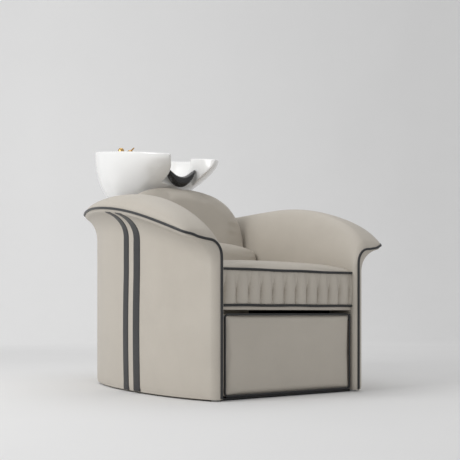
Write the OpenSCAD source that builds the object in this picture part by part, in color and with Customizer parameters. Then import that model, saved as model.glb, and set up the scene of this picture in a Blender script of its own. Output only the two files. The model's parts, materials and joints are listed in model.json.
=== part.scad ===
/* [Chair shell] */
// Depth of the chair shell, front to back
shell_l = 933; // [780:1:1120]
// Clear width between the arms
seat_w = 584; // [500:1:700]
// Greatest thickness of an arm's side
arm_t = 107; // [90:1:130]
// Thickness of an arm at its front edge
arm_front_t = 41; // [36:1:50]
// How far the arm rim stands out from the inner face
rim_reach = 190; // [160:1:228]
// Height of the arm rim at the front tip
tip_z = 545; // [520:1:600]
// Rise of the rim from the front tip to the back
rim_rise = 151; // [120:1:180]
// Rise of the arm's ridge above its front crest
ridge_rise = 202; // [170:1:240]
// Height of the cove under the rim
cove_h = 105; // [80:1:130]
// Diameter of the piping
piping_d = 9; // [6:0.5:12]

/* [Seat] */
// Height of the seat's top piping above the floor
seat_z = 440; // [400:1:460]
// Height of the seat cushion's front border
seat_h = 122; // [100:1:146]
// Crown of the seat cushion above its piping
seat_crown = 30; // [20:1:40]
// Depth of the seat cushion
seat_d = 560; // [460:1:600]
// Height of the backrest's top
back_top_z = 824; // [780:1:850]
// Thickness of the backrest pad
back_t = 105; // [85:1:125]
// Thickness of the lumbar cushion
lumbar_t = 78; // [60:1:92]
// Thickness of the boards
board_t = 15; // [12:1:21]

/* [Leg rest] */
// Thickness of the leg rest, pad and board
legrest_t = 50; // [42:1:60]
// Distance of the leg rest pivot from the panel's top and front
pivot_inset = 14; // [12:1:16]
// Radius of the leg rest pivot pins
pivot_r = 5; // [4:0.5:6]
// Length of the drive lever from the pivot to its pin
lever_r = 130; // [110:1:150]
// Largest opening angle of the leg rest
legrest_open = 85; // [60:1:85]

/* [Column] */
// Width of the column
col_w = 330; // [280:1:396]
// Depth of the column
col_d = 240; // [210:1:288]
// Height of the column cover
col_h = 640; // [600:1:650]
// Thickness of the column's sheet metal
sheet_t = 3; // [2:0.5:4]
// Spacing of the floor anchors across the unit
anchor_x = 240; // [200:1:250]
// Spacing of the floor anchors front to back
anchor_y = 160; // [130:1:170]
// Radius of the floor anchor holes
anchor_r = 5.5; // [4:0.5:7]

/* [Bowl] */
// Half width of the bowl
bowl_r = 220; // [190:1:250]
// Reach of the bowl's wings in front of its drain
wing_reach = 448; // [400:1:480]
// Height of the bowl's bottom
bowl_z = 780; // [770:1:800]
// Height of the rim at the wing tips
wing_z = 942; // [920:1:980]
// Slope of the rim, rise per millimetre to the rear
rim_slope = 0.155; // [0.1:0.005:0.2]
// Half width of the neck opening
neck_r = 76; // [66:1:84]
// Height of the neck opening's floor
neck_z = 856; // [846:1:870]
// Radius of the drain hole
drain_r = 26; // [22:1:30]
// Radius of the tilt pin
tilt_r = 8; // [6:0.5:10]
// Outer radius of the waste spigot
waste_r = 20; // [16:1:25]
// Outer radius of the supply nipples, G1/2
nipple_r = 10.48; // [8:0.01:13]

/* [Hidden] */
$fn = 48;
run = 0.05;                                   // radial clearance of a running fit
gap = 0.3;                                    // clearance of a soft piece
greige = [0.71, 0.68, 0.62];
ink = [0.13, 0.13, 0.14];
steel = [0.55, 0.56, 0.58];
brass = [0.80, 0.63, 0.38];
white = [0.94, 0.94, 0.93];

bowl_v = shell_l + 154;                       // drain, measured back from the chair's front
front_lip = piping_d / 3;                     // how far the front piping stands proud
depth = bowl_v + bowl_r + front_lip;          // overall depth
yf = -depth / 2 + front_lip;                  // front plane of the arms
in_x = seat_w / 2;
floor_gap = 6;                                // glides lift the shell by this much
nose = 20;                                    // depth of the arm's rounded front
crest_x = in_x + 16;
crest_z = tip_z - 62;                         // where the front crest starts to turn outward
tip_r = 29;                                   // plan radius of the rim's front corner
back_r = 45;                                  // plan radius of the rear corner
bow_v = 0.466 * shell_l;                      // where the side is widest
rim_v = 0.504 * shell_l;                      // where the rim is widest
rear_draw = 88;                               // how far the side draws in at the rear
wrap = 75;                                    // how far the arm wraps in behind the backrest
wrap_v = 0.86 * shell_l;

// Quarter-round easing: 0 at 0, 1 at 1, upright at the start
function q(s) = s >= 1 ? 1 : s <= 0 ? 0 : sqrt(1 - (1 - s) * (1 - s));
function clamp(s) = min(1, max(0, s));
function mix(a, b, t) = a + (b - a) * t;
function ease(s) = let (t = clamp(s)) t * t * (3 - 2 * t);

// Plan of the arm: outer side, rim, ridge and inner face at depth v
function rear_round(v, r) = r * (1 - q((shell_l - v) / r));
function side_x(v) = (v < bow_v
        ? in_x + arm_t - (arm_t - arm_front_t) * pow((bow_v - v) / bow_v, 2.6)
        : in_x + arm_t - rear_draw * pow((v - bow_v) / (shell_l - bow_v), 2.12))
    - rear_round(v, back_r);
function rim_x(v) = (v < rim_v
        ? in_x + rim_reach - 46 * pow((rim_v - v) / rim_v, 4)
        : in_x + rim_reach - 120 * pow((v - rim_v) / (shell_l - rim_v), 1.9))
    - tip_r * (1 - q(v / tip_r)) - rear_round(v, back_r);
function inner_x(v) = in_x - wrap * ease((v - wrap_v) / (shell_l - wrap_v));
function ridge_x(v) = mix(inner_x(v), rim_x(v), 0.45);

// Heights of the arm at depth v
function rim_z(v) = tip_z + rim_rise * (1 - pow(1 - clamp((v - tip_r) / (0.885 * shell_l)), 2.3))
    - rear_round(v, back_r) / 3;
function ridge_z(v) = let (s = clamp(v / (0.62 * shell_l)), b = max(0, v / shell_l - 0.62) / 0.28)
    tip_z - 11 + ridge_rise * pow(1 - (1 - s) * (1 - s), 0.68) - 8 * b * b - rear_round(v, 60);
function shoulder_z(v) = tip_z - 100 + 60 * clamp(v / (0.5 * shell_l));

// Crest line of the arm's front, at distance w outward from its upright part
function front_z(w) = crest_z + 49 * pow(1 - pow(1 - clamp(w / 55), 2.5), 0.6)
    + 13 * max(0, w - 57) / 79;
function crest(f) = let (w = f * (rim_x(0) - crest_x)) [crest_x + w, front_z(w)];

// Section of the arm at depth v: the inner and top side at angle a, 180 inside to 0 at the rim
function top_full(v, a) = a >= 90
    ? [ridge_x(v) + (ridge_x(v) - inner_x(v)) * cos(a), mix(shoulder_z(v), ridge_z(v), sin(a))]
    : [mix(ridge_x(v), rim_x(v), cos(a)), mix(rim_z(v), ridge_z(v), sin(a))];
function share(v, x, from) = clamp((x - from) / (rim_x(v) - from));
function nose_q(v) = max(0.12, q(v / nose));
function top_at(v, a) = let (p = top_full(v, a))
    mix(crest(share(v, p[0], inner_x(v))), p, nose_q(v));
// and the outer side, from the upright at angle b = 0 over the cove to the rim at 90
function out_full(v, b) = [mix(rim_x(v), side_x(v), cos(b)),
    rim_z(v) - piping_d / 2 - cove_h * (1 - sin(b))];
function out_at(v, b) = let (p = out_full(v, b))
    mix(crest(share(v, p[0], side_x(v))), p, nose_q(v));

arm_steps = 12;
function arm_inner(v) = let (p = top_at(v, 180)) concat([[p[0], floor_gap]],
    [for (k = [0:arm_steps]) top_at(v, 180 * (1 - k / arm_steps))]);
function arm_outer(v) = let (p = out_at(v, 0)) concat([[p[0], floor_gap]],
    [for (k = [0:arm_steps]) out_at(v, 90 * k / arm_steps)]);
function at_v(v, line) = [for (p = line) [p[0], yf + v, p[1]]];
function reversed(list) = [for (k = [len(list) - 1:-1:0]) list[k]];
arm_v = concat([for (a = [0:18:90]) nose * (1 - cos(a))],
    [for (k = [1:18]) nose + (shell_l - nose - back_r) * pow(k / 18, 1.3)],
    [for (a = [18:18:90]) shell_l - back_r * (1 - sin(a))]);

// A ribbon solid: each ring is two lines of the same length, so both ends close as ladders
module ribbon(rings, flip = false) {
    m = len(rings);
    n = len(rings[0]);
    h = n / 2;
    sides = [for (i = [0:m - 2]) for (k = [0:n - 1])
        let (a = i * n + k, b = i * n + (k + 1) % n) each [[a, b, b + n], [a, b + n, a + n]]];
    start = [for (k = [0:h - 2]) each [[k, n - 1 - k, k + 1], [k + 1, n - 1 - k, n - 2 - k]]];
    end = [for (f = start) [for (i = [2:-1:0]) f[i] + (m - 1) * n]];
    faces = concat(sides, start, end);
    polyhedron([for (r = rings) each r], flip ? [for (f = faces) reversed(f)] : faces);
}
// A solid through a stack of round rings, closed by a fan at each end
function middle(r) = [for (i = [0:2]) let (s = [for (p = r) p[i]]) (min(s) + max(s)) / 2];
module stack(rings) {
    m = len(rings);
    n = len(rings[0]);
    sides = [for (i = [0:m - 2]) for (k = [0:n - 1])
        let (a = i * n + k, b = i * n + (k + 1) % n) each [[a, b, b + n], [a, b + n, a + n]]];
    start = [for (k = [0:n - 1]) [(k + 1) % n, k, m * n]];
    end = [for (k = [0:n - 1]) [(m - 1) * n + k, (m - 1) * n + (k + 1) % n, m * n + 1]];
    polyhedron(concat([for (r = rings) each r], [middle(rings[0]), middle(rings[m - 1])]),
        concat(sides, start, end));
}
// A round tube along a route of points, for routes that never run along the slant reference
slant = [0.6, -0.6, -0.52];
function unit(p) = p / norm(p);
module tube(route, r, sides = 8) {
    n = len(route);
    stack([for (i = [0:n - 1])
        let (t = unit(route[min(i + 1, n - 1)] - route[max(i - 1, 0)]),
            a = unit(cross(t, slant)), b = cross(a, t))
        [for (k = [0:sides - 1]) route[i] + r * (cos(360 * k / sides) * a + sin(360 * k / sides) * b)]]);
}
module box(x0, x1, v0, v1, z0, z1) {
    translate([x0, yf + v0, z0]) cube([x1 - x0, v1 - v0, z1 - z0]);
}
module both() {
    children();
    mirror([1, 0, 0]) children();
}
// A cylinder along X between x0 and x1, at depth v and height z
module rod_x(x0, x1, v, z, r) {
    translate([x0, yf + v, z]) rotate([0, 90, 0]) cylinder(h = x1 - x0, r = r);
}
module rod_y(x, v0, v1, z, r) {
    translate([x, yf + v0, z]) rotate([-90, 0, 0]) cylinder(h = v1 - v0, r = r);
}
module rod_z(x, v, z0, z1, r) {
    translate([x, yf + v, z0]) cylinder(h = z1 - z0, r = r);
}

// Arms -----------------------------------------------------------------
frame_t = 18;                                 // arm frame panel
frame_x = in_x + 13;
frame_v = [60, 0.88 * shell_l];
frame_z = seat_z - 10;
module arm() {
    difference() {
        ribbon([for (v = arm_v) at_v(v, concat(arm_inner(v), reversed(arm_outer(v))))]);
        box(frame_x, frame_x + frame_t, frame_v[0], frame_v[1], 0, frame_z);
        rod_x(in_x - 5, in_x + 8 + gap, pivot_v, pivot_z, pivot_r);
        for (v = stub_v) box(in_x - 5, frame_x + 1, v, v + tube_w, base_z, base_z + tube_h);
    }
}
module arm_left() { color(greige) mirror([1, 0, 0]) arm(); }
module arm_right() { color(greige) arm(); }

crest_w = rim_x(0) - crest_x;
arm_route = concat(
    [for (z = [floor_gap + 4, crest_z / 2, crest_z - 60, crest_z - 20]) [crest_x, yf - front_lip / 2, z]],
    [for (k = [0:9]) let (w = crest_w * pow(k / 9, 1.4)) [crest_x + w, yf - front_lip / 2, front_z(w)]],
    [for (v = arm_v) if (v > 1) [rim_x(v) + front_lip / 2, yf + v, rim_z(v)]]);
module arm_piping() { tube(arm_route, piping_d / 2); }
module arm_piping_left() { color(ink) mirror([1, 0, 0]) arm_piping(); }
module arm_piping_right() { color(ink) arm_piping(); }

stripe_t = 2.4;
stripes = [[0.451 * shell_l, 48], [0.538 * shell_l, 37]];
function stripe_line(v, out) = concat([[side_x(v) + out, floor_gap + 1]],
    [for (k = [0:10]) out_full(v, 8.6 * k) + out * [cos(8.6 * k), -sin(8.6 * k)]]);
module arm_stripes() {
    for (s = stripes)
        ribbon([for (k = [0:3]) let (v = s[0] + s[1] * (k / 3 - 0.5))
            at_v(v, concat(stripe_line(v, -1), reversed(stripe_line(v, stripe_t - 1))))]);
}
module arm_stripes_left() { color(ink) mirror([1, 0, 0]) arm_stripes(); }
module arm_stripes_right() { color(ink) arm_stripes(); }

module arm_frame() { box(frame_x, frame_x + frame_t, frame_v[0], frame_v[1], 12, frame_z); }
module arm_frame_left() { color("burlywood") mirror([1, 0, 0]) arm_frame(); }
module arm_frame_right() { color("burlywood") arm_frame(); }

// Back -----------------------------------------------------------------
back_v = 646;                                 // front of the backrest pad at the seat
back_lean = 0.2;
back_bottom = seat_z - 10;
spring_z = back_top_z - 224;
module back_panel() {
    half = in_x - wrap - gap;
    color(greige)
        difference() {
            box(-half, half, shell_l - 24, shell_l - 4, floor_gap + 6, spring_z + 60);
            box(-40, 40, shell_l - 25, shell_l - 3, base_z, base_z + tube_h);
        }
}
// Outline of a pad seen from the front, a quarter of it by angle
function pad_outline(half, low, spring, top) = concat(
    [[-half + 12, low], [half - 12, low], [half, low + 12]],
    [for (a = [0:10:180]) let (c = cos(a), s = sin(a))
        [half * sign(c) * pow(abs(c), 2 / 2.6), spring + (top - spring) * pow(s, 2 / 2.6)]],
    [[-half, low + 12]]);
// A pad with rounded faces: the outline drawn in by up to r at both faces, leaning back
module pad(half, low, spring, top, v0, t, r, lean) {
    line = pad_outline(half, low, spring, top);
    mid = [0, (low + top) / 2];
    steps = [for (a = [0:15:90]) 1 - sin(a)];
    depths = concat([for (a = [0:15:90]) r * (1 - cos(a))], [for (a = [90:-15:0]) t - r * (1 - cos(a))]);
    insets = concat(steps, reversed(steps));
    stack([for (i = [0:len(depths) - 1])
        let (k = insets[i] * r)
        [for (p = reversed(line)) let (x = p[0] * (1 - k / half), z = mix(p[1], mid[1], k / (top - mid[1])))
            [x, yf + v0 + depths[i] + lean * (z - low), z]]]);
}
module backrest_pad() {
    color(greige)
        pad(in_x - gap, back_bottom, spring_z, back_top_z, back_v, back_t, 42, back_lean);
}
module backrest_board() {
    low = back_bottom;
    high = spring_z + 60;
    color("burlywood")
        translate([-in_x + 45, yf + back_v + back_t + 1, low])
            rotate([90, 0, 90])
                linear_extrude(seat_w - 90)
                    polygon([[0, 0], [board_t, 0], [board_t + back_lean * (high - low), high - low],
                        [back_lean * (high - low), high - low]]);
}
lumbar_v = back_v - lumbar_t + 8;
lumbar_low = seat_z + seat_crown + 2;
module lumbar_cushion() {
    color(greige)
        pad(in_x - gap, lumbar_low, lumbar_low + 62, lumbar_low + 120, lumbar_v, lumbar_t - gap - 1, 34,
            back_lean);
}

// Seat -----------------------------------------------------------------
seat_v = nose;                                // the seat stands back from the arm fronts
seat_low = seat_z - seat_h;
module seat_cushion() {
    top = [for (a = [180:-15:90]) [90 + 90 * cos(a), seat_z + seat_crown * sin(a)]];
    color(greige)
        translate([-in_x + gap, yf + seat_v, 0])
            rotate([90, 0, 90])
                linear_extrude(seat_w - 2 * gap)
                    polygon(concat([[0, seat_low]], top, [[seat_d, seat_z + seat_crown - 8], [seat_d,
                        seat_low]]));
}
module seat_piping() {
    color(ink)
        for (z = [seat_z, seat_low])
            rod_x(-in_x + 1, in_x - 1, seat_v - 1, z, piping_d / 2);
}
module seat_board() {
    color("burlywood")
        box(-in_x + gap, in_x - gap, seat_v + 62, seat_v + seat_d, seat_low - board_t, seat_low);
}
module seat_rail() {
    color(greige)
        box(-in_x + gap, in_x - gap, seat_v + 2, seat_v + 62, seat_low - 16, seat_low);
}

// Base -----------------------------------------------------------------
tube_w = 40;
tube_h = 30;
base_z = 12;
rail_x = in_x - 44;
front_rail_v = seat_v + 96;
stub_v = [front_rail_v + 60, shell_l - 220];  // where the base frame carries the arm frames
module tube_y(x, v0, v1, z) {
    difference() {
        box(x - tube_w / 2, x + tube_w / 2, v0, v1, z, z + tube_h);
        box(x - tube_w / 2 + 3, x + tube_w / 2 - 3, v0 - 1, v1 + 1, z + 3, z + tube_h - 3);
    }
}
module base_frame() {
    rear = wrap_v + 8;
    seat_under = seat_low - board_t;
    color("dimgray") {
        both() {
            tube_y(rail_x, front_rail_v, rear, base_z);
            for (v = [front_rail_v, seat_v + seat_d - tube_w])
                box(rail_x - tube_w / 2, rail_x + tube_w / 2, v, v + tube_w, base_z + tube_h,
                    seat_under - tube_h);
            tube_y(rail_x, front_rail_v, seat_v + seat_d, seat_under - tube_h);
            for (v = stub_v) box(rail_x + tube_w / 2, frame_x, v, v + tube_w, base_z, base_z + tube_h);
        }
        for (v = [front_rail_v, rear - tube_w])
            box(-rail_x + tube_w / 2, rail_x - tube_w / 2, v, v + tube_w, base_z, base_z + tube_h);
        box(-tube_w / 2, tube_w / 2, rear - tube_w - 250, rear - tube_w, base_z, base_z + tube_h);
        box(-rail_x + tube_w / 2, rail_x - tube_w / 2, act_v0 - tube_w, act_v0, base_z, base_z + tube_h);
        box(-25, 25, act_v0 - tube_w, act_v0, base_z + tube_h, act_z - 24);
        box(-40, 40, rear, col_v + 12, base_z, base_z + tube_h);
    }
}
module plinth() {
    color(ink) box(-in_x, in_x, seat_v + 8, seat_v + 26, 0, 9);
}
module glides() {
    color([0.75, 0.75, 0.75])
        both()
            for (p = [[crest_x + 2, 32], [in_x + 60, 0.45 * shell_l], [in_x + 20, 0.85 * shell_l]])
                rod_z(p[0], p[1], 0, floor_gap, 14);
}

// Leg rest -------------------------------------------------------------
legrest_x = in_x - 8;
legrest_top = seat_low - 28;
legrest_low = 11;
pad_t = legrest_t - board_t;
pivot_v = seat_v + pivot_inset;
pivot_z = legrest_top - pivot_inset;
boss_r = pivot_r + 5;
module legrest_pad() {
    color(greige)
        difference() {
            box(-legrest_x, legrest_x, seat_v, seat_v + pad_t, legrest_low, legrest_top);
            both() {
                rod_x(legrest_x - 12 - gap, legrest_x + 1, pivot_v, pivot_z, boss_r + gap);
                box(legrest_x - 6 - gap, legrest_x + 1, pivot_v, seat_v + legrest_t,
                    pivot_z - boss_r - gap, pivot_z + 8 + gap);
            }
        }
}
module legrest_board() {
    color("burlywood")
        box(-legrest_x + 6, legrest_x - 6, seat_v + pad_t, seat_v + legrest_t, legrest_low + 6,
            legrest_top - 6);
}
module legrest_piping() {
    r = piping_d / 2;
    c = 12;
    w = legrest_x - c;
    mid = (legrest_top + legrest_low) / 2;
    h = (legrest_top - legrest_low) / 2 - c;
    color(ink)
        translate([0, yf + seat_v - r / 3, mid])
            rotate([90, 0, 0]) {
                for (s = [[w, h, 0], [-w, h, 90], [-w, -h, 180], [w, -h, 270]])
                    translate([s[0], s[1], 0])
                        rotate([0, 0, s[2]])
                            rotate_extrude(angle = 90) translate([c - r / 2, 0]) circle(r = r, $fn = 24);
                for (s = [-1, 1]) {
                    translate([-w, s * (h + c - r / 2), 0]) rotate([0, 90, 0]) cylinder(h = 2 * w,
                        r = r, $fn = 24);
                    translate([s * (w + c - r / 2), -h, 0]) rotate([-90, 0, 0]) cylinder(h = 2 * h,
                        r = r, $fn = 24);
                }
            }
}
lever_pin_v = pivot_v + lever_r * sin(legrest_open / 2);
lever_pin_z = pivot_z - lever_r * cos(legrest_open / 2);
ear_x = 12;
ear_t = 5;
lever_pin_r = 6;
module legrest_lever() {
    color(steel) {
        difference() {
            union() {
                both() {
                    box(ear_x, ear_x + ear_t, seat_v + legrest_t + 4, lever_pin_v, lever_pin_z - 14,
                        lever_pin_z + 14);
                    rod_x(ear_x, ear_x + ear_t, lever_pin_v, lever_pin_z, 14);
                }
                box(-40, 40, seat_v + legrest_t, seat_v + legrest_t + 4, lever_pin_z - 30,
                    lever_pin_z + 30);
            }
            for (x = [-30, 30]) for (z = [-20, 20])
                rod_y(x, seat_v + legrest_t - 1, seat_v + legrest_t + 5, lever_pin_z + z, 3);
        }
        rod_x(-ear_x - ear_t, ear_x + ear_t, lever_pin_v, lever_pin_z, lever_pin_r);
        both()
            difference() {
                union() {
                    rod_x(legrest_x - 12, legrest_x, pivot_v, pivot_z, boss_r);
                    box(legrest_x - 6, legrest_x, pivot_v, seat_v + legrest_t, pivot_z - boss_r,
                        pivot_z + 8);
                }
                rod_x(legrest_x - 13, legrest_x + 1, pivot_v, pivot_z, pivot_r + run);
            }
    }
}
bracket_x = legrest_x + 3;
module legrest_brackets() {
    color(steel)
        both()
            difference() {
                union() {
                    box(bracket_x, bracket_x + 4, pivot_v - 9, front_rail_v + tube_w, pivot_z - 12,
                        pivot_z + 12);
                    box(rail_x + tube_w / 2, bracket_x + 4, front_rail_v, front_rail_v + tube_w,
                        pivot_z - 60, pivot_z - 12);
                }
                rod_x(bracket_x - 1, bracket_x + 5, pivot_v, pivot_z, pivot_r);
            }
}
module legrest_pins() {
    color(steel) both() rod_x(legrest_x - 11, in_x + 8, pivot_v, pivot_z, pivot_r);
}

// Actuator -------------------------------------------------------------
act_z = pivot_z - lever_r * (1 + cos(legrest_open / 2)) / 2;
act_v0 = lever_pin_v + 40 + 270;              // rear end of the outer tube
yoke_r = lever_pin_r + 4;
yoke_half = lever_r * (1 - cos(legrest_open / 2)) / 2 + lever_pin_r + 3;
rod_r = 9;
module actuator_body() {
    color(steel)
        difference() {
            union() {
                rod_y(0, lever_pin_v + 40, act_v0, act_z, rod_r + 6);
                box(-16, 16, act_v0 - 60, act_v0 - 4, act_z - 24, act_z);
            }
            rod_y(0, lever_pin_v + 39, act_v0 - 12, act_z, rod_r + run);
        }
}
module actuator_motor() {
    color(ink) {
        box(-30, 30, act_v0, act_v0 + 44, act_z - 22, act_z + 70);
        rod_y(0, act_v0 + 44, act_v0 + 150, act_z + 44, 21);
        box(-10, 10, act_v0 + 44, act_v0 + 90, act_z - 20, act_z - 4);
    }
}
module actuator_rod() {
    color([0.8, 0.8, 0.82]) {
        rod_y(0, lever_pin_v + yoke_r + 3, act_v0 - 20, act_z, rod_r);
        difference() {
            box(-6, 6, lever_pin_v - yoke_r - 6, lever_pin_v + yoke_r + 6, act_z - yoke_half - 5,
                act_z + yoke_half + 5);
            box(-7, 7, lever_pin_v - yoke_r, lever_pin_v + yoke_r, act_z - yoke_half, act_z + yoke_half);
        }
    }
}

// Column ---------------------------------------------------------------
col_v = shell_l + 8;
post_x = col_w / 2 - 55;
post_v = col_v + 24;
top_z = col_h + 8;
door_t = 18;
module column_frame() {
    color("dimgray")
        difference() {
            union() {
                box(-col_w / 2 + 15, col_w / 2 - 15, col_v + 12, col_v + col_d - 18, 0, 8);
                both() box(post_x - 20, post_x + 20, post_v, post_v + 40, 8, top_z);
                box(-post_x - 24, post_x + 24, col_v + 14, col_v + 100, top_z, top_z + 8);
                box(-40, 40, col_v + 12, col_v + 22, 8, base_z + tube_h);
                box(-post_x, post_x, post_v + 36, post_v + 40, spigot_z - 20, spigot_z + 26);
                box(-post_x, post_x, post_v + 36, post_v + 40, valve_z - 70, valve_z - 46);
            }
            both() box(post_x - 17, post_x + 17, post_v + 3, post_v + 37, 8, top_z + 9);
            rod_z(0, bowl_v, -1, 9, waste_r + 14);
            both() rod_z(valve_x, valve_v, -1, 9, nipple_r + 8);
            both() for (s = [-1, 1])
                rod_z(anchor_x / 2, anchor_v + s * anchor_y / 2, -1, 9, anchor_r);
        }
}
anchor_v = col_v + col_d / 2 - 3;
module column_cover() {
    color(greige)
        difference() {
            box(-col_w / 2, col_w / 2, col_v, col_v + col_d, 2, col_h + sheet_t);
            box(-col_w / 2 + sheet_t, col_w / 2 - sheet_t, col_v + sheet_t, col_v + col_d + 1, 1, col_h);
            both() box(post_x - 20.5, post_x + 20.5, post_v - 0.5, post_v + 40.5, col_h - 1, col_h + 5);
            rod_z(0, bowl_v, col_h - 1, col_h + 5, 48);
            box(-44, 44, col_v - 1, col_v + 5, base_z - 4, base_z + tube_h + 4);
        }
}
hinge_x = col_w / 2 - 7;
hinge_v = col_v + col_d + 7;
module column_door() {
    color(greige)
        difference() {
            union() {
                box(-col_w / 2 + 1, hinge_x - 8, col_v + col_d + 1, col_v + col_d + 1 + door_t - 6, 20,
                    col_h - 4);
                for (z = door_knuckles) {
                    rod_z(hinge_x, hinge_v, z, z + 20, 6);
                    box(hinge_x - 12, hinge_x, hinge_v - 2, hinge_v + 2, z, z + 20);
                }
            }
            for (z = door_knuckles) rod_z(hinge_x, hinge_v, z - 1, z + 21, 3 + run);
            rod_y(-col_w / 2 + 28, col_v + col_d, col_v + col_d + 20, col_h * 0.62, 3);
        }
}
door_knuckles = [90, 90 + (col_h - 200)];
module door_hinge() {
    color(steel)
        for (z = door_knuckles) {
            rod_z(hinge_x, hinge_v, z - 22, z + 42, 3);
            for (s = [z - 22, z + 20.5]) {
                difference() {
                    rod_z(hinge_x, hinge_v, s, s + 21.5, 6);
                    rod_z(hinge_x, hinge_v, s - 1, s + 22.5, 3);
                }
                box(hinge_x + 4.5, col_w / 2, col_v + col_d, hinge_v + 2, s, s + 21.5);
            }
        }
}
module door_knob() {
    x = -col_w / 2 + 28;
    v = col_v + col_d + 1 + door_t - 6;
    color(brass)
        translate([x, yf + v, col_h * 0.62])
            rotate([-90, 0, 0])
                rotate_extrude() polygon([[0, -10], [3, -10], [3, 0], [7, 0], [5, 6], [11, 12], [11,
                    16], [7, 19], [0, 19]]);
}

// Tilting bowl carrier -------------------------------------------------
tilt_v = col_v + 44;
tilt_z = bowl_z - 50;
cradle_x = 53;
module tilt_bracket() {
    color(steel)
        difference() {
            union() {
                box(-84, 84, col_v + 16, col_v + 96, top_z + 8, top_z + 14);
                both() {
                    box(cradle_x + 3, cradle_x + 11, tilt_v - 26, tilt_v + 26, top_z + 14, tilt_z);
                    rod_x(cradle_x + 3, cradle_x + 11, tilt_v, tilt_z, 18);
                }
            }
            rod_x(-90, 90, tilt_v, tilt_z, tilt_r);
        }
}
module tilt_pin() { color(steel) rod_x(-cradle_x - 16, cradle_x + 11, tilt_v, tilt_z, tilt_r); }
module tilt_cradle() {
    color(steel)
        difference() {
            union() {
                box(-cradle_x, cradle_x, tilt_v - 14, bowl_v + 70, bowl_z - 8, bowl_z);
                both() {
                    box(cradle_x - 8, cradle_x, tilt_v - 14, tilt_v + 14, tilt_z, bowl_z - 8);
                    rod_x(cradle_x - 8, cradle_x, tilt_v, tilt_z, 14);
                }
            }
            rod_x(-90, 90, tilt_v, tilt_z, tilt_r + run);
            rod_z(0, bowl_v, bowl_z - 9, bowl_z + 1, 40);
        }
}
module tilt_lever() {
    x = cradle_x + 11 + 0.4;
    color(ink) {
        difference() {
            union() {
                rod_x(x, x + 14, tilt_v, tilt_z, 13);
                box(x + 2, x + 10, tilt_v + 6, tilt_v + 96, tilt_z - 7, tilt_z + 7);
                translate([x + 6, yf + tilt_v + 96, tilt_z]) sphere(r = 12, $fn = 32);
            }
            rod_x(x - 1, x + 12, tilt_v, tilt_z, tilt_r + 2);
        }
    }
}

// Bowl -----------------------------------------------------------------
pad_r = 78;                                   // flat bottom of the bowl
bowl_wall = 24;
function bowl_rim_z(v) = wing_z + rim_slope * (v - bowl_v + wing_reach - 8);
// Plan of the bowl at angle a from the front, as a superellipse reaching fore, aft and sideways
function bowl_reach(a, side, fore, aft, e) = let (along = cos(a) > 0 ? fore : aft, n = cos(a) > 0 ? 3 : e)
    1 / pow(pow(abs(sin(a)) / side, n) + pow(abs(cos(a)) / along, n), 1 / n);
bowl_steps = 56;
// A ring of the bowl at level s, 0 at the bottom and 1 at the rim, above that the rim carried upward
function bowl_ring(s, z0, base_r, lift, side, fore, aft, e) = [for (k = [0:bowl_steps - 1])
    let (a = 360 * k / bowl_steps, full = bowl_reach(a, side, fore, aft, e), t = min(s, 1),
        r = mix(base_r, full, pow(sin(90 * t), 0.85)), rim = bowl_rim_z(bowl_v - full * cos(a)),
        front = ease((cos(a) - 0.2) / 0.6))
    [r * sin(a), yf + bowl_v - r * cos(a),
        mix(z0, rim, 1 - cos(90 * t)) + lift * front * sin(180 * t) + 80 * max(0, s - 1)]];
function outer_ring(s) = bowl_ring(s, bowl_z, pad_r, 36, bowl_r, wing_reach, bowl_r, 2);
function basin_ring(s) = bowl_ring(s, bowl_z + 16, drain_r + 12, 0, bowl_r - bowl_wall,
    bowl_v - neck_v - 10,
    bowl_r - deck_l, 2.6);
deck_l = 84;                                  // flat deck behind the basin, for the mixer
deck_t = 25;
module bowl() {
    color(white)
        difference() {
            stack(reversed([for (s = [0:0.1:1]) outer_ring(s)]));
            stack(reversed([for (s = [0, 0.1, 0.2, 0.3, 0.4, 0.5, 0.6, 0.7, 0.8, 0.9, 1,
                2]) basin_ring(s)]));
            box(-neck_r, neck_r, 0, neck_v, 0, 1200);
            translate([0, yf + neck_v + 70, neck_z + neck_r])
                rotate([90, 0, 0]) linear_extrude(80) {
                    circle(r = neck_r);
                    translate([-neck_r, 0]) square([2 * neck_r, 200]);
                }
            rod_z(0, bowl_v, bowl_z - 1, bowl_z + 30, drain_r);
            box(-50, 50, tap_v - 22, tap_v + 22, 0, deck_z - deck_t);
            rod_z(mixer_x, tap_v, deck_z - 60, deck_z + 60, shank_r + 0.5);
            rod_z(-mixer_x, tap_v, deck_z - 60, deck_z + 60, shank_r + 0.5);
            box(-54, 54, tap_v - 24, tap_v + 24, deck_z, 1200);
        }
}
neck_v = bowl_v - 300;
// The neck cushion: oval sections along X, thick in the middle and pointed at the ends
module neck_rest() {
    half = neck_r - 2;
    color(ink)
        stack([for (k = [-10:10])
            let (f = sin(9 * k), x = half * f, t = sqrt(max(0.02, 1 - pow(abs(f), 4))),
                up = neck_z + 10 + 42 * f * f, low = neck_z - 26 + 60 * f * f, mid = (up + low) / 2,
                h = (up - low) / 2 * t, w = 20 * t)
            [for (a = [0:30:330]) [x, yf + neck_v - 20 - gap + w * cos(a), mid + h * sin(a)]]]);
}
module drain_flange() {
    color([0.82, 0.82, 0.84])
        difference() {
            union() {
                rod_z(0, bowl_v, bowl_z + 16, bowl_z + 19, drain_r + 10);
                rod_z(0, bowl_v, bowl_z - 44, bowl_z + 16, drain_r - 0.5);
            }
            rod_z(0, bowl_v, bowl_z - 45, bowl_z + 20, drain_r - 4);
        }
}
module drain_nut() {
    color(ink)
        difference() {
            translate([0, yf + bowl_v, bowl_z - 14]) cylinder(h = 14, r = 38, $fn = 8);
            rod_z(0, bowl_v, bowl_z - 15, bowl_z + 1, drain_r - 0.5);
        }
}
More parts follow.
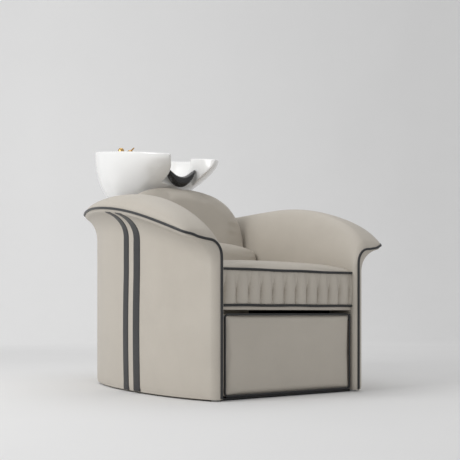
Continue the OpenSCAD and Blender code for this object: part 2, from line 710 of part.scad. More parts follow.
module strainer() {
    color([0.82, 0.82, 0.84])
        difference() {
            union() {
                rod_z(0, bowl_v, bowl_z + 19 + gap, bowl_z + 21, drain_r + 4);
                rod_z(0, bowl_v, bowl_z + 8, bowl_z + 20, drain_r - 5);
                rod_z(0, bowl_v, bowl_z + 21, bowl_z + 33, 5);
            }
            rod_z(0, bowl_v, bowl_z + 7, bowl_z + 19, drain_r - 7);
            for (a = [0:45:315])
                translate([0, yf + bowl_v, 0]) rotate([0, 0, a]) translate([13, 0,
                    bowl_z + 15]) cylinder(h = 10, r = 3);
        }
}
hose_top = bowl_z - 44;
spigot_z = 150;
module waste_hose() {
    color(ink)
        difference() {
            rod_z(0, bowl_v, spigot_z + 30, hose_top, drain_r);
            rod_z(0, bowl_v, spigot_z + 29, hose_top + 1, drain_r - 4);
        }
}
module waste_spigot() {
    color([0.8, 0.8, 0.8])
        difference() {
            union() {
                rod_z(0, bowl_v, 4, spigot_z + 50, waste_r);
                rod_z(0, bowl_v, spigot_z + 20, spigot_z + 30, waste_r + 6);
                box(-waste_r - 30, waste_r + 30, post_v + 40, bowl_v, spigot_z + 22, spigot_z + 26);
            }
            rod_z(0, bowl_v, 0, spigot_z + 51, waste_r - 3);
        }
}

// Supplies -------------------------------------------------------------
valve_x = 75;
valve_v = bowl_v + 30;
valve_z = 260;
module supply_valves() {
    color([0.8, 0.8, 0.82])
        both() {
            difference() {
                union() {
                    rod_z(valve_x, valve_v, 40, 60, nipple_r);
                    rod_z(valve_x, valve_v, 60, valve_z, nipple_r - 2.5);
                    rod_z(valve_x, valve_v, valve_z - 24, valve_z + 24, 16);
                    rod_z(valve_x, valve_v, valve_z + 24, valve_z + 50, 7);
                    rod_y(valve_x, valve_v + 12, valve_v + 24, valve_z, 10);
                    box(valve_x - 20, valve_x + 20, post_v + 40, valve_v, valve_z - 50, valve_z - 46);
                }
                rod_z(valve_x, valve_v, 39, valve_z + 51, 5);
            }
            rod_y(valve_x, valve_v + 24, valve_v + 30, valve_z, 4);
        }
}
module valve_handle(x) {
    difference() {
        union() {
            rod_y(x, valve_v + 24 + gap, valve_v + 32, valve_z, 9);
            box(x - 5, x + 5, valve_v + 25, valve_v + 29, valve_z, valve_z + 48);
        }
        rod_y(x, valve_v + 20, valve_v + 30 + gap, valve_z, 4 + run);
    }
}
module valve_handle_hot() { color("firebrick") valve_handle(-valve_x); }
module valve_handle_cold() { color("steelblue") valve_handle(valve_x); }

// Mixer and hand shower ------------------------------------------------
tap_v = bowl_v + bowl_r - 45;
mixer_x = 24;
shank_r = 12;
deck_z = bowl_rim_z(tap_v) - 5;               // floor of the deck's shallow recess
dome_r = 17;
module mixer_body() {
    color(brass)
        translate([mixer_x, yf + tap_v, deck_z])
            rotate_extrude()
                polygon([[0, -deck_t - 20], [shank_r, -deck_t - 20], [shank_r, 0], [20, 0], [20, 4],
                    [dome_r, 7],
                    [dome_r - 1, 18], [5, 18], [5, 24], [0, 24]]);
}
module mixer_nut() {
    color(steel)
        difference() {
            translate([mixer_x, yf + tap_v, deck_z - deck_t - 10]) cylinder(h = 10, r = 19, $fn = 6);
            rod_z(mixer_x, tap_v, deck_z - deck_t - 11, deck_z - deck_t + 1, shank_r);
        }
}
cap_z = deck_z + 18 + gap;
module mixer_cap() {
    color(brass)
        difference() {
            union() {
                rod_z(mixer_x, tap_v, cap_z, cap_z + 6, dome_r - 1);
                rod_z(mixer_x, tap_v, cap_z + 6, cap_z + 8.5, 7);
                box(mixer_x - 3, mixer_x + 3, tap_v - 3, tap_v + 3, cap_z + 8.5, cap_z + 16);
            }
            rod_z(mixer_x, tap_v, cap_z - 1, cap_z + 7, 5 + run);
            rod_x(mixer_x - 4, mixer_x + 4, tap_v, cap_z + 13.5, 1.2);
        }
}
lift_z = cap_z + 13.5;
module mixer_lever() {
    color(brass) {
        difference() {
            union() {
                intersection() {
                    translate([mixer_x, yf + tap_v, cap_z + 6]) sphere(r = dome_r);
                    box(mixer_x - 20, mixer_x + 20, tap_v - 20, tap_v + 20, cap_z + 11, cap_z + 40);
                }
                translate([mixer_x, yf + tap_v - 9, cap_z + 17])
                    rotate([74, 0, 0]) cylinder(h = 30, r = 3.2);
            }
            box(mixer_x - 3.4, mixer_x + 3.4, tap_v - 6, tap_v + 6, cap_z + 10, cap_z + 18);
        }
        rod_x(mixer_x - 4.5, mixer_x + 4.5, tap_v, lift_z, 1.15);
    }
}
module shower_holder() {
    color(brass)
        difference() {
            translate([-mixer_x, yf + tap_v, deck_z])
                rotate_extrude()
                    polygon([[0, -deck_t - 12], [shank_r, -deck_t - 12], [shank_r, 0], [18, 0], [18,
                        4], [15, 8], [0, 8]]);
            rod_z(-mixer_x, tap_v, deck_z - deck_t - 13, deck_z + 9, 9 + run);
        }
}
module hand_shower() {
    color(brass)
        translate([-mixer_x, yf + tap_v, deck_z + 8 + gap])
            rotate_extrude()
                polygon([[0, -30], [7, -30], [9, -26], [9, 0], [12, 0], [14, 8], [14, 26], [11, 33],
                    [6, 36], [0, 36]]);
}

// Switch ---------------------------------------------------------------
switch_v = col_v + 150;
switch_z = col_h - 90;
module switch_plate() {
    color(ink)
        difference() {
            box(-col_w / 2 - 5, -col_w / 2, switch_v - 22, switch_v + 22, switch_z - 45, switch_z + 45);
            for (s = [-1, 1])
                rod_x(-col_w / 2 - 6, -col_w / 2 + 1, switch_v, switch_z + 20 * s, 12);
        }
}
module button(s) { rod_x(-col_w / 2 - 7.5, -col_w / 2 - 2.2, switch_v, switch_z + 20 * s, 11.8); }
module button_up() { color("silver") button(1); }
module button_down() { color("silver") button(-1); }

arm_left();
arm_right();
arm_piping_left();
arm_piping_right();
arm_stripes_left();
arm_stripes_right();
arm_frame_left();
arm_frame_right();
back_panel();
backrest_pad();
backrest_board();
lumbar_cushion();
seat_cushion();
seat_piping();
seat_board();
seat_rail();
base_frame();
plinth();
glides();
legrest_pad();
legrest_board();
legrest_piping();
legrest_lever();
legrest_brackets();
legrest_pins();
actuator_body();
actuator_motor();
actuator_rod();
column_frame();
column_cover();
column_door();
door_knob();
door_hinge();
tilt_bracket();
tilt_cradle();
tilt_pin();
tilt_lever();
bowl();
neck_rest();
drain_flange();
drain_nut();
strainer();
waste_hose();
waste_spigot();
supply_valves();
valve_handle_hot();
valve_handle_cold();
mixer_body();
mixer_nut();
mixer_cap();
mixer_lever();
shower_holder();
hand_shower();
switch_plate();
button_up();
button_down();
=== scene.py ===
# Shampoo backwash unit: an upholstered armchair with a swing-out leg rest and a tilting glazed bowl on a column.
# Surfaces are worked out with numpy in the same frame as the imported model, in metres.
import json
import math
import bmesh
import bpy
import numpy as np
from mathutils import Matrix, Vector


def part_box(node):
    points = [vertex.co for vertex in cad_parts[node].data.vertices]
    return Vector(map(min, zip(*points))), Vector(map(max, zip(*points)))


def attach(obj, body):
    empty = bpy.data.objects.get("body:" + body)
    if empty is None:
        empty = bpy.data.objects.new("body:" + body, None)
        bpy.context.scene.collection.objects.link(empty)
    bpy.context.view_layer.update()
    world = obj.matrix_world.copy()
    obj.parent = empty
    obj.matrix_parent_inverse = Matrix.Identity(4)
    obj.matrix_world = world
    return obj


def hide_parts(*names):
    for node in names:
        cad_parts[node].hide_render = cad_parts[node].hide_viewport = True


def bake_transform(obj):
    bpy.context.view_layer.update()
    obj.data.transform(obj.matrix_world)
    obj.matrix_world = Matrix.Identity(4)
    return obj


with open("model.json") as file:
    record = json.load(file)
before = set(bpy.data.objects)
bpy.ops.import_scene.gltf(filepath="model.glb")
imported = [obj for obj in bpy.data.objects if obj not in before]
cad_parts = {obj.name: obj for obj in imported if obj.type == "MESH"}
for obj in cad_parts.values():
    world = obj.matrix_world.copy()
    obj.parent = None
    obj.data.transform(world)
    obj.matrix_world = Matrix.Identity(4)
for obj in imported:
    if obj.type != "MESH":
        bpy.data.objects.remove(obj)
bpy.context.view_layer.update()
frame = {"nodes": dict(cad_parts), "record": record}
print("frame loaded:", len(frame["nodes"]), "nodes")


# ---- small tools

def corners(node):
    low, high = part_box(node)
    return np.array(low), np.array(high)


def quarter(s):
    # a quarter circle: 0 at 0, upright there, and 1 level from 1 on
    s = np.clip(s, 0, 1)
    return np.sqrt(1 - (1 - s) ** 2)


def ease(s):
    # smooth step from 0 to 1
    s = np.clip(s, 0, 1)
    return s * s * (3 - 2 * s)


def mix(a, b, t):
    return a + (b - a) * t


def stack3(x, y, z):
    return np.stack(np.broadcast_arrays(x, y, z), axis=-1).astype(float)


def gridFaces(rows, cols, closed=False):
    # quads between neighbouring rows of a grid; closed joins the last column to the first
    i = np.arange(rows - 1)[:, None] * cols
    j = np.arange(cols if closed else cols - 1)[None, :]
    k = (j + 1) % cols
    return np.stack([i + j, i + k, i + cols + k, i + cols + j], axis=-1).reshape(-1, 4)


def fanFaces(ring, centre):
    # triangles from one ring of vertex numbers to a centre vertex
    return np.stack([ring, np.roll(ring, -1), np.full(len(ring), centre)], axis=-1)


def ladderFaces(start, cols):
    # closes a ring made of two equal lines, rung by rung
    k = np.arange(cols // 2 - 1)
    return start + np.stack([k, k + 1, cols - 2 - k, cols - 1 - k], axis=-1)


def makePiece(name, points, faceSets, smooth=40, weld=0.0):
    # a mesh from points and face arrays; normals are turned outward, edges sharper than smooth degrees stay sharp
    mesh = bpy.data.meshes.new(name)
    mesh.from_pydata(points.reshape(-1, 3).tolist(), [], [f for s in faceSets for f in s.tolist()])
    tidy = bmesh.new()
    tidy.from_mesh(mesh)
    if weld:
        bmesh.ops.remove_doubles(tidy, verts=tidy.verts, dist=weld)
    bmesh.ops.recalc_face_normals(tidy, faces=tidy.faces)
    tidy.to_mesh(mesh)
    tidy.free()
    mesh.shade_smooth()
    mesh.set_sharp_from_angle(angle=math.radians(smooth))
    piece = bpy.data.objects.new(name, mesh)
    bpy.context.scene.collection.objects.link(piece)
    return piece


def ringPiece(name, rings, smooth=40, closeEnds=True):
    # a skin over a stack of closed rings, each end closed by a fan
    rows, cols = rings.shape[:2]
    faces = [gridFaces(rows, cols, closed=True)]
    points = rings.reshape(-1, 3)
    if closeEnds:
        ends = [rings[0].mean(axis=0), rings[-1].mean(axis=0)]
        points = np.vstack([points, ends])
        faces += [fanFaces(np.arange(cols), rows * cols), fanFaces(np.arange(cols) + (rows - 1) * cols, rows * cols + 1)]
    return makePiece(name, points, faces, smooth)


def loopPiece(name, rings, smooth=60):
    # a skin over rings that run round and meet again, such as a closed loop of piping
    closedRings = np.concatenate([rings, rings[:1]])
    rows, cols = closedRings.shape[:2]
    return makePiece(name, closedRings, [gridFaces(rows, cols, closed=True)], smooth, weld=1e-6)


def tubeRings(route, radius, slant, sides=14, closed=False):
    # circles square to a route; slant is a direction that the route never runs along
    if closed:
        along = np.roll(route, -1, axis=0) - np.roll(route, 1, axis=0)
    else:
        along = np.gradient(route, axis=0)
    along /= np.linalg.norm(along, axis=1, keepdims=True)
    a = np.cross(along, slant)
    a /= np.linalg.norm(a, axis=1, keepdims=True)
    b = np.cross(a, along)
    turn = np.linspace(0, 2 * np.pi, sides, endpoint=False)[None, :, None]
    radius = np.broadcast_to(radius, len(route))[:, None, None]
    return route[:, None, :] + radius * (np.cos(turn) * a[:, None, :] + np.sin(turn) * b[:, None, :])


def resample(line, count, closed=False):
    # points at equal steps along a line
    if closed:
        line = np.concatenate([line, line[:1]])
    reach = np.concatenate([[0], np.cumsum(np.linalg.norm(np.diff(line, axis=0), axis=1))])
    steps = np.linspace(0, reach[-1], count, endpoint=not closed)
    return np.stack([np.interp(steps, reach, line[:, k]) for k in range(line.shape[1])], axis=-1)


def lathe(name, profile, centre, steps=48, smooth=35, tilt=None):
    # a profile of (radius, height) turned about the vertical through centre; tilt turns it by a 3x3 matrix
    profile = np.array(profile, float)
    turn = np.linspace(0, 2 * np.pi, steps, endpoint=False)[None, :]
    rings = stack3(profile[:, :1] * np.cos(turn), profile[:, :1] * np.sin(turn), profile[:, 1:] + 0 * turn)
    if tilt is not None:
        rings = rings @ np.array(tilt).T
    return ringPiece(name, rings + np.array(centre), smooth)


def roundedBox(name, low, high, radius, cell, smooth=60):
    # a box skin with quads of about cell, its edges rounded by pushing each point out from the inner box
    low, high = np.array(low, float), np.array(high, float)
    turn = radius * (1 - np.cos(np.linspace(0, np.pi / 2, 7)))
    lines = []
    for k in range(3):
        inner = np.linspace(low[k] + radius, high[k] - radius, max(2, int(round((high[k] - low[k] - 2 * radius) / cell)) + 1))
        lines.append(np.unique(np.round(np.concatenate([low[k] + turn, inner, high[k] - turn]), 7)))
    points, faces, start = [], [], 0
    for k in range(3):
        u, v = [m for m in range(3) if m != k]
        for side in (low[k], high[k]):
            gridU, gridV = np.meshgrid(lines[u], lines[v], indexing="ij")
            patch = np.zeros(gridU.shape + (3,))
            patch[..., u], patch[..., v], patch[..., k] = gridU, gridV, side
            points.append(patch.reshape(-1, 3))
            faces.append(gridFaces(*gridU.shape) + start)
            start += gridU.size
    points = np.vstack(points)
    core = np.clip(points, low + radius, high - radius)
    away = points - core
    points = core + radius * away / np.linalg.norm(away, axis=1, keepdims=True)
    return makePiece(name, points, faces, smooth, weld=1e-5)


def coordinates(piece):
    flat = np.empty(len(piece.data.vertices) * 3)
    piece.data.vertices.foreach_get("co", flat)
    return flat.reshape(-1, 3)


def moveTo(piece, points):
    piece.data.vertices.foreach_set("co", points.astype(np.float32).ravel())
    piece.data.update()


def useModifiers(piece):
    # bakes the modifiers into the mesh
    shown = piece.evaluated_get(bpy.context.evaluated_depsgraph_get())
    mesh = bpy.data.meshes.new_from_object(shown)
    piece.modifiers.clear()
    piece.data = mesh
    return piece


def inflate(piece, voxel, pressure, cap, stiffness=15, hold=None):
    # remeshes a closed form, swells it as cloth under inner pressure with no weight, and caps how far a point moves
    remesh = piece.modifiers.new("remesh", "REMESH")
    remesh.mode = "VOXEL"
    remesh.voxel_size = voxel
    useModifiers(piece)
    piece.data.shade_smooth()
    start = coordinates(piece)
    if hold is not None:
        group = piece.vertex_groups.new(name="held")
        for w in np.unique(np.round(hold(start), 1)):
            where = np.nonzero(np.abs(hold(start) - w) < 0.051)[0]
            group.add(where.tolist(), float(w), "REPLACE")
    cloth = piece.modifiers.new("cloth", "CLOTH")
    cloth.settings.quality = 5
    cloth.settings.mass = 0.3
    cloth.settings.tension_stiffness = stiffness
    cloth.settings.compression_stiffness = stiffness
    cloth.settings.shear_stiffness = stiffness / 3
    cloth.settings.bending_stiffness = 0.5
    cloth.settings.use_pressure = True
    cloth.settings.uniform_pressure_force = pressure
    cloth.settings.effector_weights.gravity = 0
    if hold is not None:
        cloth.settings.vertex_group_mass = "held"
    scene = bpy.context.scene
    for step in range(1, 21):
        scene.frame_set(step)
    shown = piece.evaluated_get(bpy.context.evaluated_depsgraph_get())
    flat = np.empty(len(start) * 3)
    shown.data.vertices.foreach_get("co", flat)
    piece.modifiers.clear()
    scene.frame_set(1)
    move = flat.reshape(-1, 3) - start
    size = np.linalg.norm(move, axis=1, keepdims=True)
    start = start + move * np.minimum(1, cap / np.maximum(size, 1e-9))
    moveTo(piece, start)
    return piece


def relax(piece, passes, factor=0.5):
    smoother = piece.modifiers.new("relax", "SMOOTH")
    smoother.iterations = passes
    smoother.factor = factor
    useModifiers(piece)
    piece.data.shade_smooth()
    return piece


def subdivide(piece, levels=1):
    finer = piece.modifiers.new("finer", "SUBSURF")
    finer.levels = finer.render_levels = levels
    return piece


def fit(piece, material, body, *nodes, slot=None):
    # gives a finished piece its material, its body and the nodes that it stands for
    piece.data.materials.clear()
    piece.data.materials.append(material)
    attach(piece, body)
    if nodes:
        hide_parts(*nodes)
    return piece


# ---- camera, floor, light

shellLow, shellHigh = corners("arm_left")
frontY = shellLow[1]                  # front plane of the arms
shellLength = shellHigh[1] - frontY
seatLow, seatHigh = corners("seat_cushion")
innerX = seatHigh[0] + 0.0003         # inner face of the arms

view = dict(
    place=(-1.8056, frontY - 2.1896, 0.290),   # eye at seat rail height, in front and to the sitter's right
    turn=-34.97,                               # degrees about the vertical
    lens=63.3,
    shiftUp=0.1815)
camera = bpy.data.objects.new("camera", bpy.data.cameras.new("camera"))
camera.location = view["place"]
camera.rotation_euler = (math.pi / 2, 0, math.radians(view["turn"]))
camera.data.lens = view["lens"]
camera.data.sensor_width = 36
camera.data.shift_y = view["shiftUp"]
bpy.context.scene.collection.objects.link(camera)
bpy.context.scene.camera = camera
print("camera set")


def hexColour(code):
    # sRGB hex to linear red, green, blue, alpha
    parts = [int(code[k:k + 2], 16) / 255 for k in (1, 3, 5)]
    return tuple(c / 12.92 if c <= 0.04045 else ((c + 0.055) / 1.055) ** 2.4 for c in parts) + (1.0,)


def addNode(tree, kind, settings=None, **links):
    # adds a node; settings are its own properties, links name an input and give a value or an output to join
    node = tree.nodes.new(kind)
    for key, value in (settings or {}).items():
        setattr(node, key, value)
    for key, value in links.items():
        socket = node.inputs[int(key[1:])] if key[0] == "i" and key[1:].isdigit() else node.inputs[key.replace("_", " ")]
        if isinstance(value, bpy.types.NodeSocket):
            tree.links.new(value, socket)
        else:
            socket.default_value = value
    return node


def newMaterial(name, **surface):
    # an empty principled material; surface gives the shader's own sockets
    material = bpy.data.materials.new(name)
    material.use_nodes = True
    tree = material.node_tree
    tree.nodes.clear()
    shader = addNode(tree, "ShaderNodeBsdfPrincipled", None, **surface)
    addNode(tree, "ShaderNodeOutputMaterial", None, Surface=shader.outputs[0])
    place = addNode(tree, "ShaderNodeTexCoord").outputs["Object"]
    return material, tree, shader, place


def ramp(tree, value, stops):
    # a colour ramp through (position, hex) stops
    node = addNode(tree, "ShaderNodeValToRGB", None, Fac=value)
    while len(node.color_ramp.elements) < len(stops):
        node.color_ramp.elements.new(0.5)
    for element, (position, code) in zip(node.color_ramp.elements, stops):
        element.position = position
        element.color = hexColour(code)
    return node.outputs[0]


def spread(tree, value, low, high, fromLow=0.0, fromHigh=1.0):
    return addNode(tree, "ShaderNodeMapRange", None, Value=value, From_Min=fromLow, From_Max=fromHigh,
                   To_Min=low, To_Max=high).outputs[0]


def bump(tree, height, strength, distance, under=None):
    settings = dict(Height=height, Strength=strength, Distance=distance)
    if under is not None:
        settings["Normal"] = under
    return addNode(tree, "ShaderNodeBump", None, **settings).outputs[0]


stageLook = dict(
    keyPower=82.0, keySize=2.8, keyPlace=(-4.0, -0.1, 2.5),
    fillPower=1.0, topPower=21.0, worldStrength=0.62,
    paintedWallLightLeft=0.20, paintedWallLightRight=0.08)   # painted light: the far wall's emission strength at the picture's left and right, standing in for lamp light falling on the wall


def makeStage():
    # a pale floor that curves up into a wall, wide enough for every view
    look = stageLook
    bend, floorLevel = 2.6, -0.0005
    reach = np.linspace(0, 1, 14)
    line = np.concatenate([
        [[-16.0, floorLevel]],
        np.stack([5.2 + bend * np.sin(reach * np.pi / 2), floorLevel + bend * (1 - np.cos(reach * np.pi / 2))], axis=-1),
        [[5.2 + bend, 9.0]]])
    turn = math.radians(view["turn"])
    ahead = np.array([-math.sin(turn), math.cos(turn)])
    side = np.array([ahead[1], -ahead[0]])
    across = np.linspace(-22, 22, 3)
    points = stack3(
        line[:, :1] * ahead[0] + across[None, :] * side[0],
        line[:, :1] * ahead[1] + across[None, :] * side[1], line[:, 1:] + 0 * across[None, :])
    mesh = bpy.data.meshes.new("floor")
    mesh.from_pydata(points.reshape(-1, 3).tolist(), [], gridFaces(len(line), 3)[:, ::-1].tolist())
    mesh.shade_smooth()
    floor = bpy.data.objects.new("floor", mesh)
    bpy.context.scene.collection.objects.link(floor)
    material, tree, shader, place = newMaterial("matt studio paint", Roughness=0.9, Specular_IOR_Level=0.1)
    speck = addNode(tree, "ShaderNodeTexNoise", None, Vector=place, Scale=1.2, Detail=2.0).outputs["Fac"]
    tree.links.new(ramp(tree, speck, [(0.3, "#e8e8e8"), (0.7, "#eaeaea")]), shader.inputs["Base Color"])
    # painted light: the wall emits light that stands in for lamp light on a lit sweep, from 1 m behind the object up to
    # full at 5 m, fading from left to right
    aheadBy = addNode(tree, "ShaderNodeVectorMath", dict(operation="DOT_PRODUCT"), i0=place, i1=(ahead[0], ahead[1], 0)).outputs["Value"]
    sideBy = addNode(tree, "ShaderNodeVectorMath", dict(operation="DOT_PRODUCT"), i0=place, i1=(side[0], side[1], 0)).outputs["Value"]
    far = addNode(tree, "ShaderNodeMapRange", dict(interpolation_type="SMOOTHSTEP"), Value=aheadBy, From_Min=1.0, From_Max=5.0).outputs[0]
    level = spread(tree, sideBy, look["paintedWallLightLeft"], look["paintedWallLightRight"], -2.4, 2.7)
    paintedWallLight = addNode(tree, "ShaderNodeMath", dict(operation="MULTIPLY"), i0=far, i1=level).outputs[0]
    shader.inputs["Emission Color"].default_value = hexColour("#ffffff")
    tree.links.new(paintedWallLight, shader.inputs["Emission Strength"])
    mesh.materials.append(material)


def areaLight(name, place, target, size, power, tint="#ffffff"):
    light = bpy.data.lights.new(name, "AREA")
    light.shape = "DISK"
    light.size = size
    light.energy = power
    light.color = hexColour(tint)[:3]
    lamp = bpy.data.objects.new(name, light)
    lamp.location = place
    aim = np.array(target, float) - np.array(place, float)
    lamp.rotation_euler = (math.atan2(math.hypot(aim[0], aim[1]), -aim[2]), 0, math.atan2(aim[1], aim[0]) - math.pi / 2)
    bpy.context.scene.collection.objects.link(lamp)


makeStage()
areaLight("key", stageLook["keyPlace"], (0, 0, 0.5), stageLook["keySize"], stageLook["keyPower"])
areaLight("fill", (1.6, -3.6, 1.9), (0, 0, 0.4), 2.4, stageLook["fillPower"])
areaLight("top", (0.2, 0.6, 3.6), (0, 0, 0.5), 2.6, stageLook["topPower"])
world = bpy.data.worlds.new("studio")
bpy.context.scene.world = world
world.use_nodes = True
world.node_tree.nodes.clear()
sky = addNode(world.node_tree, "ShaderNodeBackground", None, Color=hexColour("#f4f4f4"), Strength=stageLook["worldStrength"])
addNode(world.node_tree, "ShaderNodeOutputWorld", None, Surface=sky.outputs[0])
bpy.context.scene.view_settings.view_transform = "Standard"
print("floor and light set")


# ---- materials

def leatherette(name, light, mid, dark, roughness, grain=0.0016):
    # PVC-faced leatherette, embossed grain of 1.6 mm cells: drawn a little coarser than real so that it shows up close
    material, tree, shader, place = newMaterial(name, Roughness=roughness, Specular_IOR_Level=0.42, Sheen_Weight=0.06,
                                                Sheen_Roughness=0.5)
    cloud = addNode(tree, "ShaderNodeTexNoise", None, Vector=place, Scale=9.0, Detail=4.0, Roughness=0.6).outputs["Fac"]
    cells = addNode(tree, "ShaderNodeTexVoronoi", dict(feature="DISTANCE_TO_EDGE"), Vector=place, Scale=1 / grain).outputs["Distance"]
    fine = addNode(tree, "ShaderNodeTexNoise", None, Vector=place, Scale=700.0, Detail=3.0).outputs["Fac"]
    tone = ramp(tree, cloud, [(0.28, dark), (0.5, mid), (0.74, light)])
    crease = spread(tree, cells, 0.90, 1.0, 0.0, 0.14)
    shaded = addNode(tree, "ShaderNodeMix", dict(data_type="RGBA", blend_type="MULTIPLY"), i0=1.0, i6=tone, i7=crease)
    tree.links.new(shaded.outputs[2], shader.inputs["Base Color"])
    tree.links.new(spread(tree, cloud, roughness - 0.05, roughness + 0.07, 0.3, 0.7), shader.inputs["Roughness"])
    soft = bump(tree, cloud, 0.05, 0.003)
    pebble = bump(tree, spread(tree, cells, 0, 1, 0.0, 0.22), 0.16, 0.0004, soft)
    tree.links.new(bump(tree, fine, 0.05, 0.0003, pebble), shader.inputs["Normal"])
    return material


greige = leatherette("greige leatherette", "#c3bcb1", "#c0b9ae", "#bdb6ab", 0.50)
inkBlack = leatherette("black leatherette", "#2d2e30", "#27282a", "#222325", 0.42, 0.0012)


def glazedCeramic():
    # slip-cast vitreous china under a thick clear glaze: soft white body, sharp coat, the faintest orange peel
    material, tree, shader, place = newMaterial("glazed ceramic", Roughness=0.22, Coat_Weight=0.9, Coat_Roughness=0.04,
                                                Coat_IOR=1.5, IOR=1.5)
    cloud = addNode(tree, "ShaderNodeTexNoise", None, Vector=place, Scale=6.0, Detail=2.0).outputs["Fac"]
    tree.links.new(ramp(tree, cloud, [(0.3, "#f7f7f6"), (0.7, "#f9f9f8")]), shader.inputs["Base Color"])
    peel = addNode(tree, "ShaderNodeTexNoise", None, Vector=place, Scale=60.0, Detail=1.0).outputs["Fac"]
    tree.links.new(bump(tree, peel, 0.03, 0.002), shader.inputs["Normal"])
    return material


def polyurethaneGel():
    # moulded polyurethane gel: near black, glossy skin with faint haze
    material, tree, shader, place = newMaterial("moulded gel", Roughness=0.24, Specular_IOR_Level=0.5, Coat_Weight=0.3,
                                                Coat_Roughness=0.12)
    cloud = addNode(tree, "ShaderNodeTexNoise", None, Vector=place, Scale=40.0, Detail=3.0).outputs["Fac"]
    tree.links.new(ramp(tree, cloud, [(0.3, "#0b0b0c"), (0.7, "#141415")]), shader.inputs["Base Color"])
    tree.links.new(spread(tree, cloud, 0.2, 0.3, 0.3, 0.7), shader.inputs["Roughness"])
    tree.links.new(bump(tree, cloud, 0.05, 0.0008), shader.inputs["Normal"])
    return material


def metal(name, light, dark, roughness, grainScale, grainBump=0.05, stretch=(1, 1, 1)):
    # bare or plated metal: a directional grain in roughness and colour
    material, tree, shader, place = newMaterial(name, Metallic=1.0, Roughness=roughness)
    pulled = addNode(tree, "ShaderNodeMapping", None, Vector=place, Scale=stretch).outputs[0]
    grain = addNode(tree, "ShaderNodeTexNoise", None, Vector=pulled, Scale=grainScale, Detail=4.0).outputs["Fac"]
    tree.links.new(ramp(tree, grain, [(0.3, dark), (0.7, light)]), shader.inputs["Base Color"])
    tree.links.new(spread(tree, grain, roughness * 0.75, roughness * 1.3, 0.3, 0.7), shader.inputs["Roughness"])
    tree.links.new(bump(tree, grain, grainBump, 0.0005), shader.inputs["Normal"])
    return material


def paint(name, light, dark, roughness, peelScale=420.0, coat=0.0):
    # powder coat or moulded plastic: even colour, small orange peel, slight roughness change
    material, tree, shader, place = newMaterial(name, Roughness=roughness, Coat_Weight=coat, Coat_Roughness=0.15)
    peel = addNode(tree, "ShaderNodeTexNoise", None, Vector=place, Scale=peelScale, Detail=2.0).outputs["Fac"]
    cloud = addNode(tree, "ShaderNodeTexNoise", None, Vector=place, Scale=7.0, Detail=4.0).outputs["Fac"]
    tree.links.new(ramp(tree, cloud, [(0.3, dark), (0.7, light)]), shader.inputs["Base Color"])
    tree.links.new(spread(tree, cloud, roughness - 0.05, roughness + 0.06, 0.3, 0.7), shader.inputs["Roughness"])
    tree.links.new(bump(tree, peel, 0.10, 0.0004), shader.inputs["Normal"])
    return material


def birchPly(name):
    # rotary-cut birch plywood: long faint figure along the sheet, thin plies at the edges
    material, tree, shader, place = newMaterial(name, Roughness=0.6)
    pulled = addNode(tree, "ShaderNodeMapping", None, Vector=place, Scale=(1.0, 9.0, 9.0)).outputs[0]
    figure = addNode(tree, "ShaderNodeTexNoise", None, Vector=pulled, Scale=5.0, Detail=6.0, Distortion=1.2).outputs["Fac"]
    fibre = addNode(tree, "ShaderNodeTexNoise", None, Vector=pulled, Scale=60.0, Detail=3.0).outputs["Fac"]
    tree.links.new(ramp(tree, figure, [(0.3, "#b99b72"), (0.5, "#cbb088"), (0.72, "#d8c19c")]), shader.inputs["Base Color"])
    tree.links.new(spread(tree, fibre, 0.5, 0.7), shader.inputs["Roughness"])
    tree.links.new(bump(tree, fibre, 0.15, 0.0005), shader.inputs["Normal"])
    return material


china = glazedCeramic()
gel = polyurethaneGel()
brass = metal("satin brass", "#d9b67c", "#c9a468", 0.24, 260.0)
chrome = metal("polished chrome", "#e4e6e8", "#dcdee0", 0.08, 90.0, 0.02)
zincSteel = metal("zinc plated steel", "#b9bcc0", "#a4a8ad", 0.34, 35.0, 0.08)
ground = metal("ground steel rod", "#d4d6d9", "#c4c7ca", 0.16, 120.0, 0.04, (1, 0.05, 1))
blackCoat = paint("black powder coat", "#26272a", "#1d1e20", 0.48)
greigeCoat = paint("greige powder coat", "#bdb6ab", "#b5aea3", 0.42)
blackAbs = paint("black ABS", "#1e1f21", "#171819", 0.40, 700.0)
greyAbs = paint("grey ABS", "#b9bbbc", "#b0b2b3", 0.42, 700.0)
redAbs = paint("red ABS", "#a3211c", "#8f1b17", 0.38, 700.0)
blueAbs = paint("blue ABS", "#24509a", "#1d4484", 0.38, 700.0)
ply = birchPly("birch plywood")
print("materials made")


# ---- arms: the shell, its piping and its stripes

arm = dict(
    length=shellLength,       # front plane to the rear, as packed
    thick=0.107, frontThick=0.041,
    rimReach=0.190, ridgeHigh=0.202,
    tipHigh=0.545, rimRise=0.151,
    coveHigh=0.105, floorGap=0.006,
    lipDeep=0.013, lipWide=0.018,
    tipRound=0.029, rearRound=0.045,
    crestIn=0.016, crestHigh=0.483,
    bowAt=0.466, rimAt=0.504,
    rearDraw=0.088, wrap=0.075, wrapAt=0.86,
    pipingRadius=0.0045,
    stripes=((0.441, 0.047), (0.530, 0.041)),   # place as a share of the length, and width
    stripeProud=0.0014)


def rearTurn(v, radius):
    return radius * (1 - quarter((arm["length"] - v) / radius))


def sideX(v):
    L, bow = arm["length"], arm["bowAt"] * arm["length"]
    front = (arm["thick"] - arm["frontThick"]) * np.clip((bow - v) / bow, 0, 1) ** 2.6
    rear = arm["rearDraw"] * np.clip((v - bow) / (L - bow), 0, 1) ** 2.12
    return innerX + arm["thick"] - front - rear - rearTurn(v, arm["rearRound"])


def rimX(v):
    L, widest = arm["length"], arm["rimAt"] * arm["length"]
    front = 0.046 * np.clip((widest - v) / widest, 0, 1) ** 4
    rear = 0.120 * np.clip((v - widest) / (L - widest), 0, 1) ** 1.9
    tip = arm["tipRound"] * (1 - quarter(v / arm["tipRound"]))
    return innerX + arm["rimReach"] - front - rear - tip - rearTurn(v, arm["rearRound"])


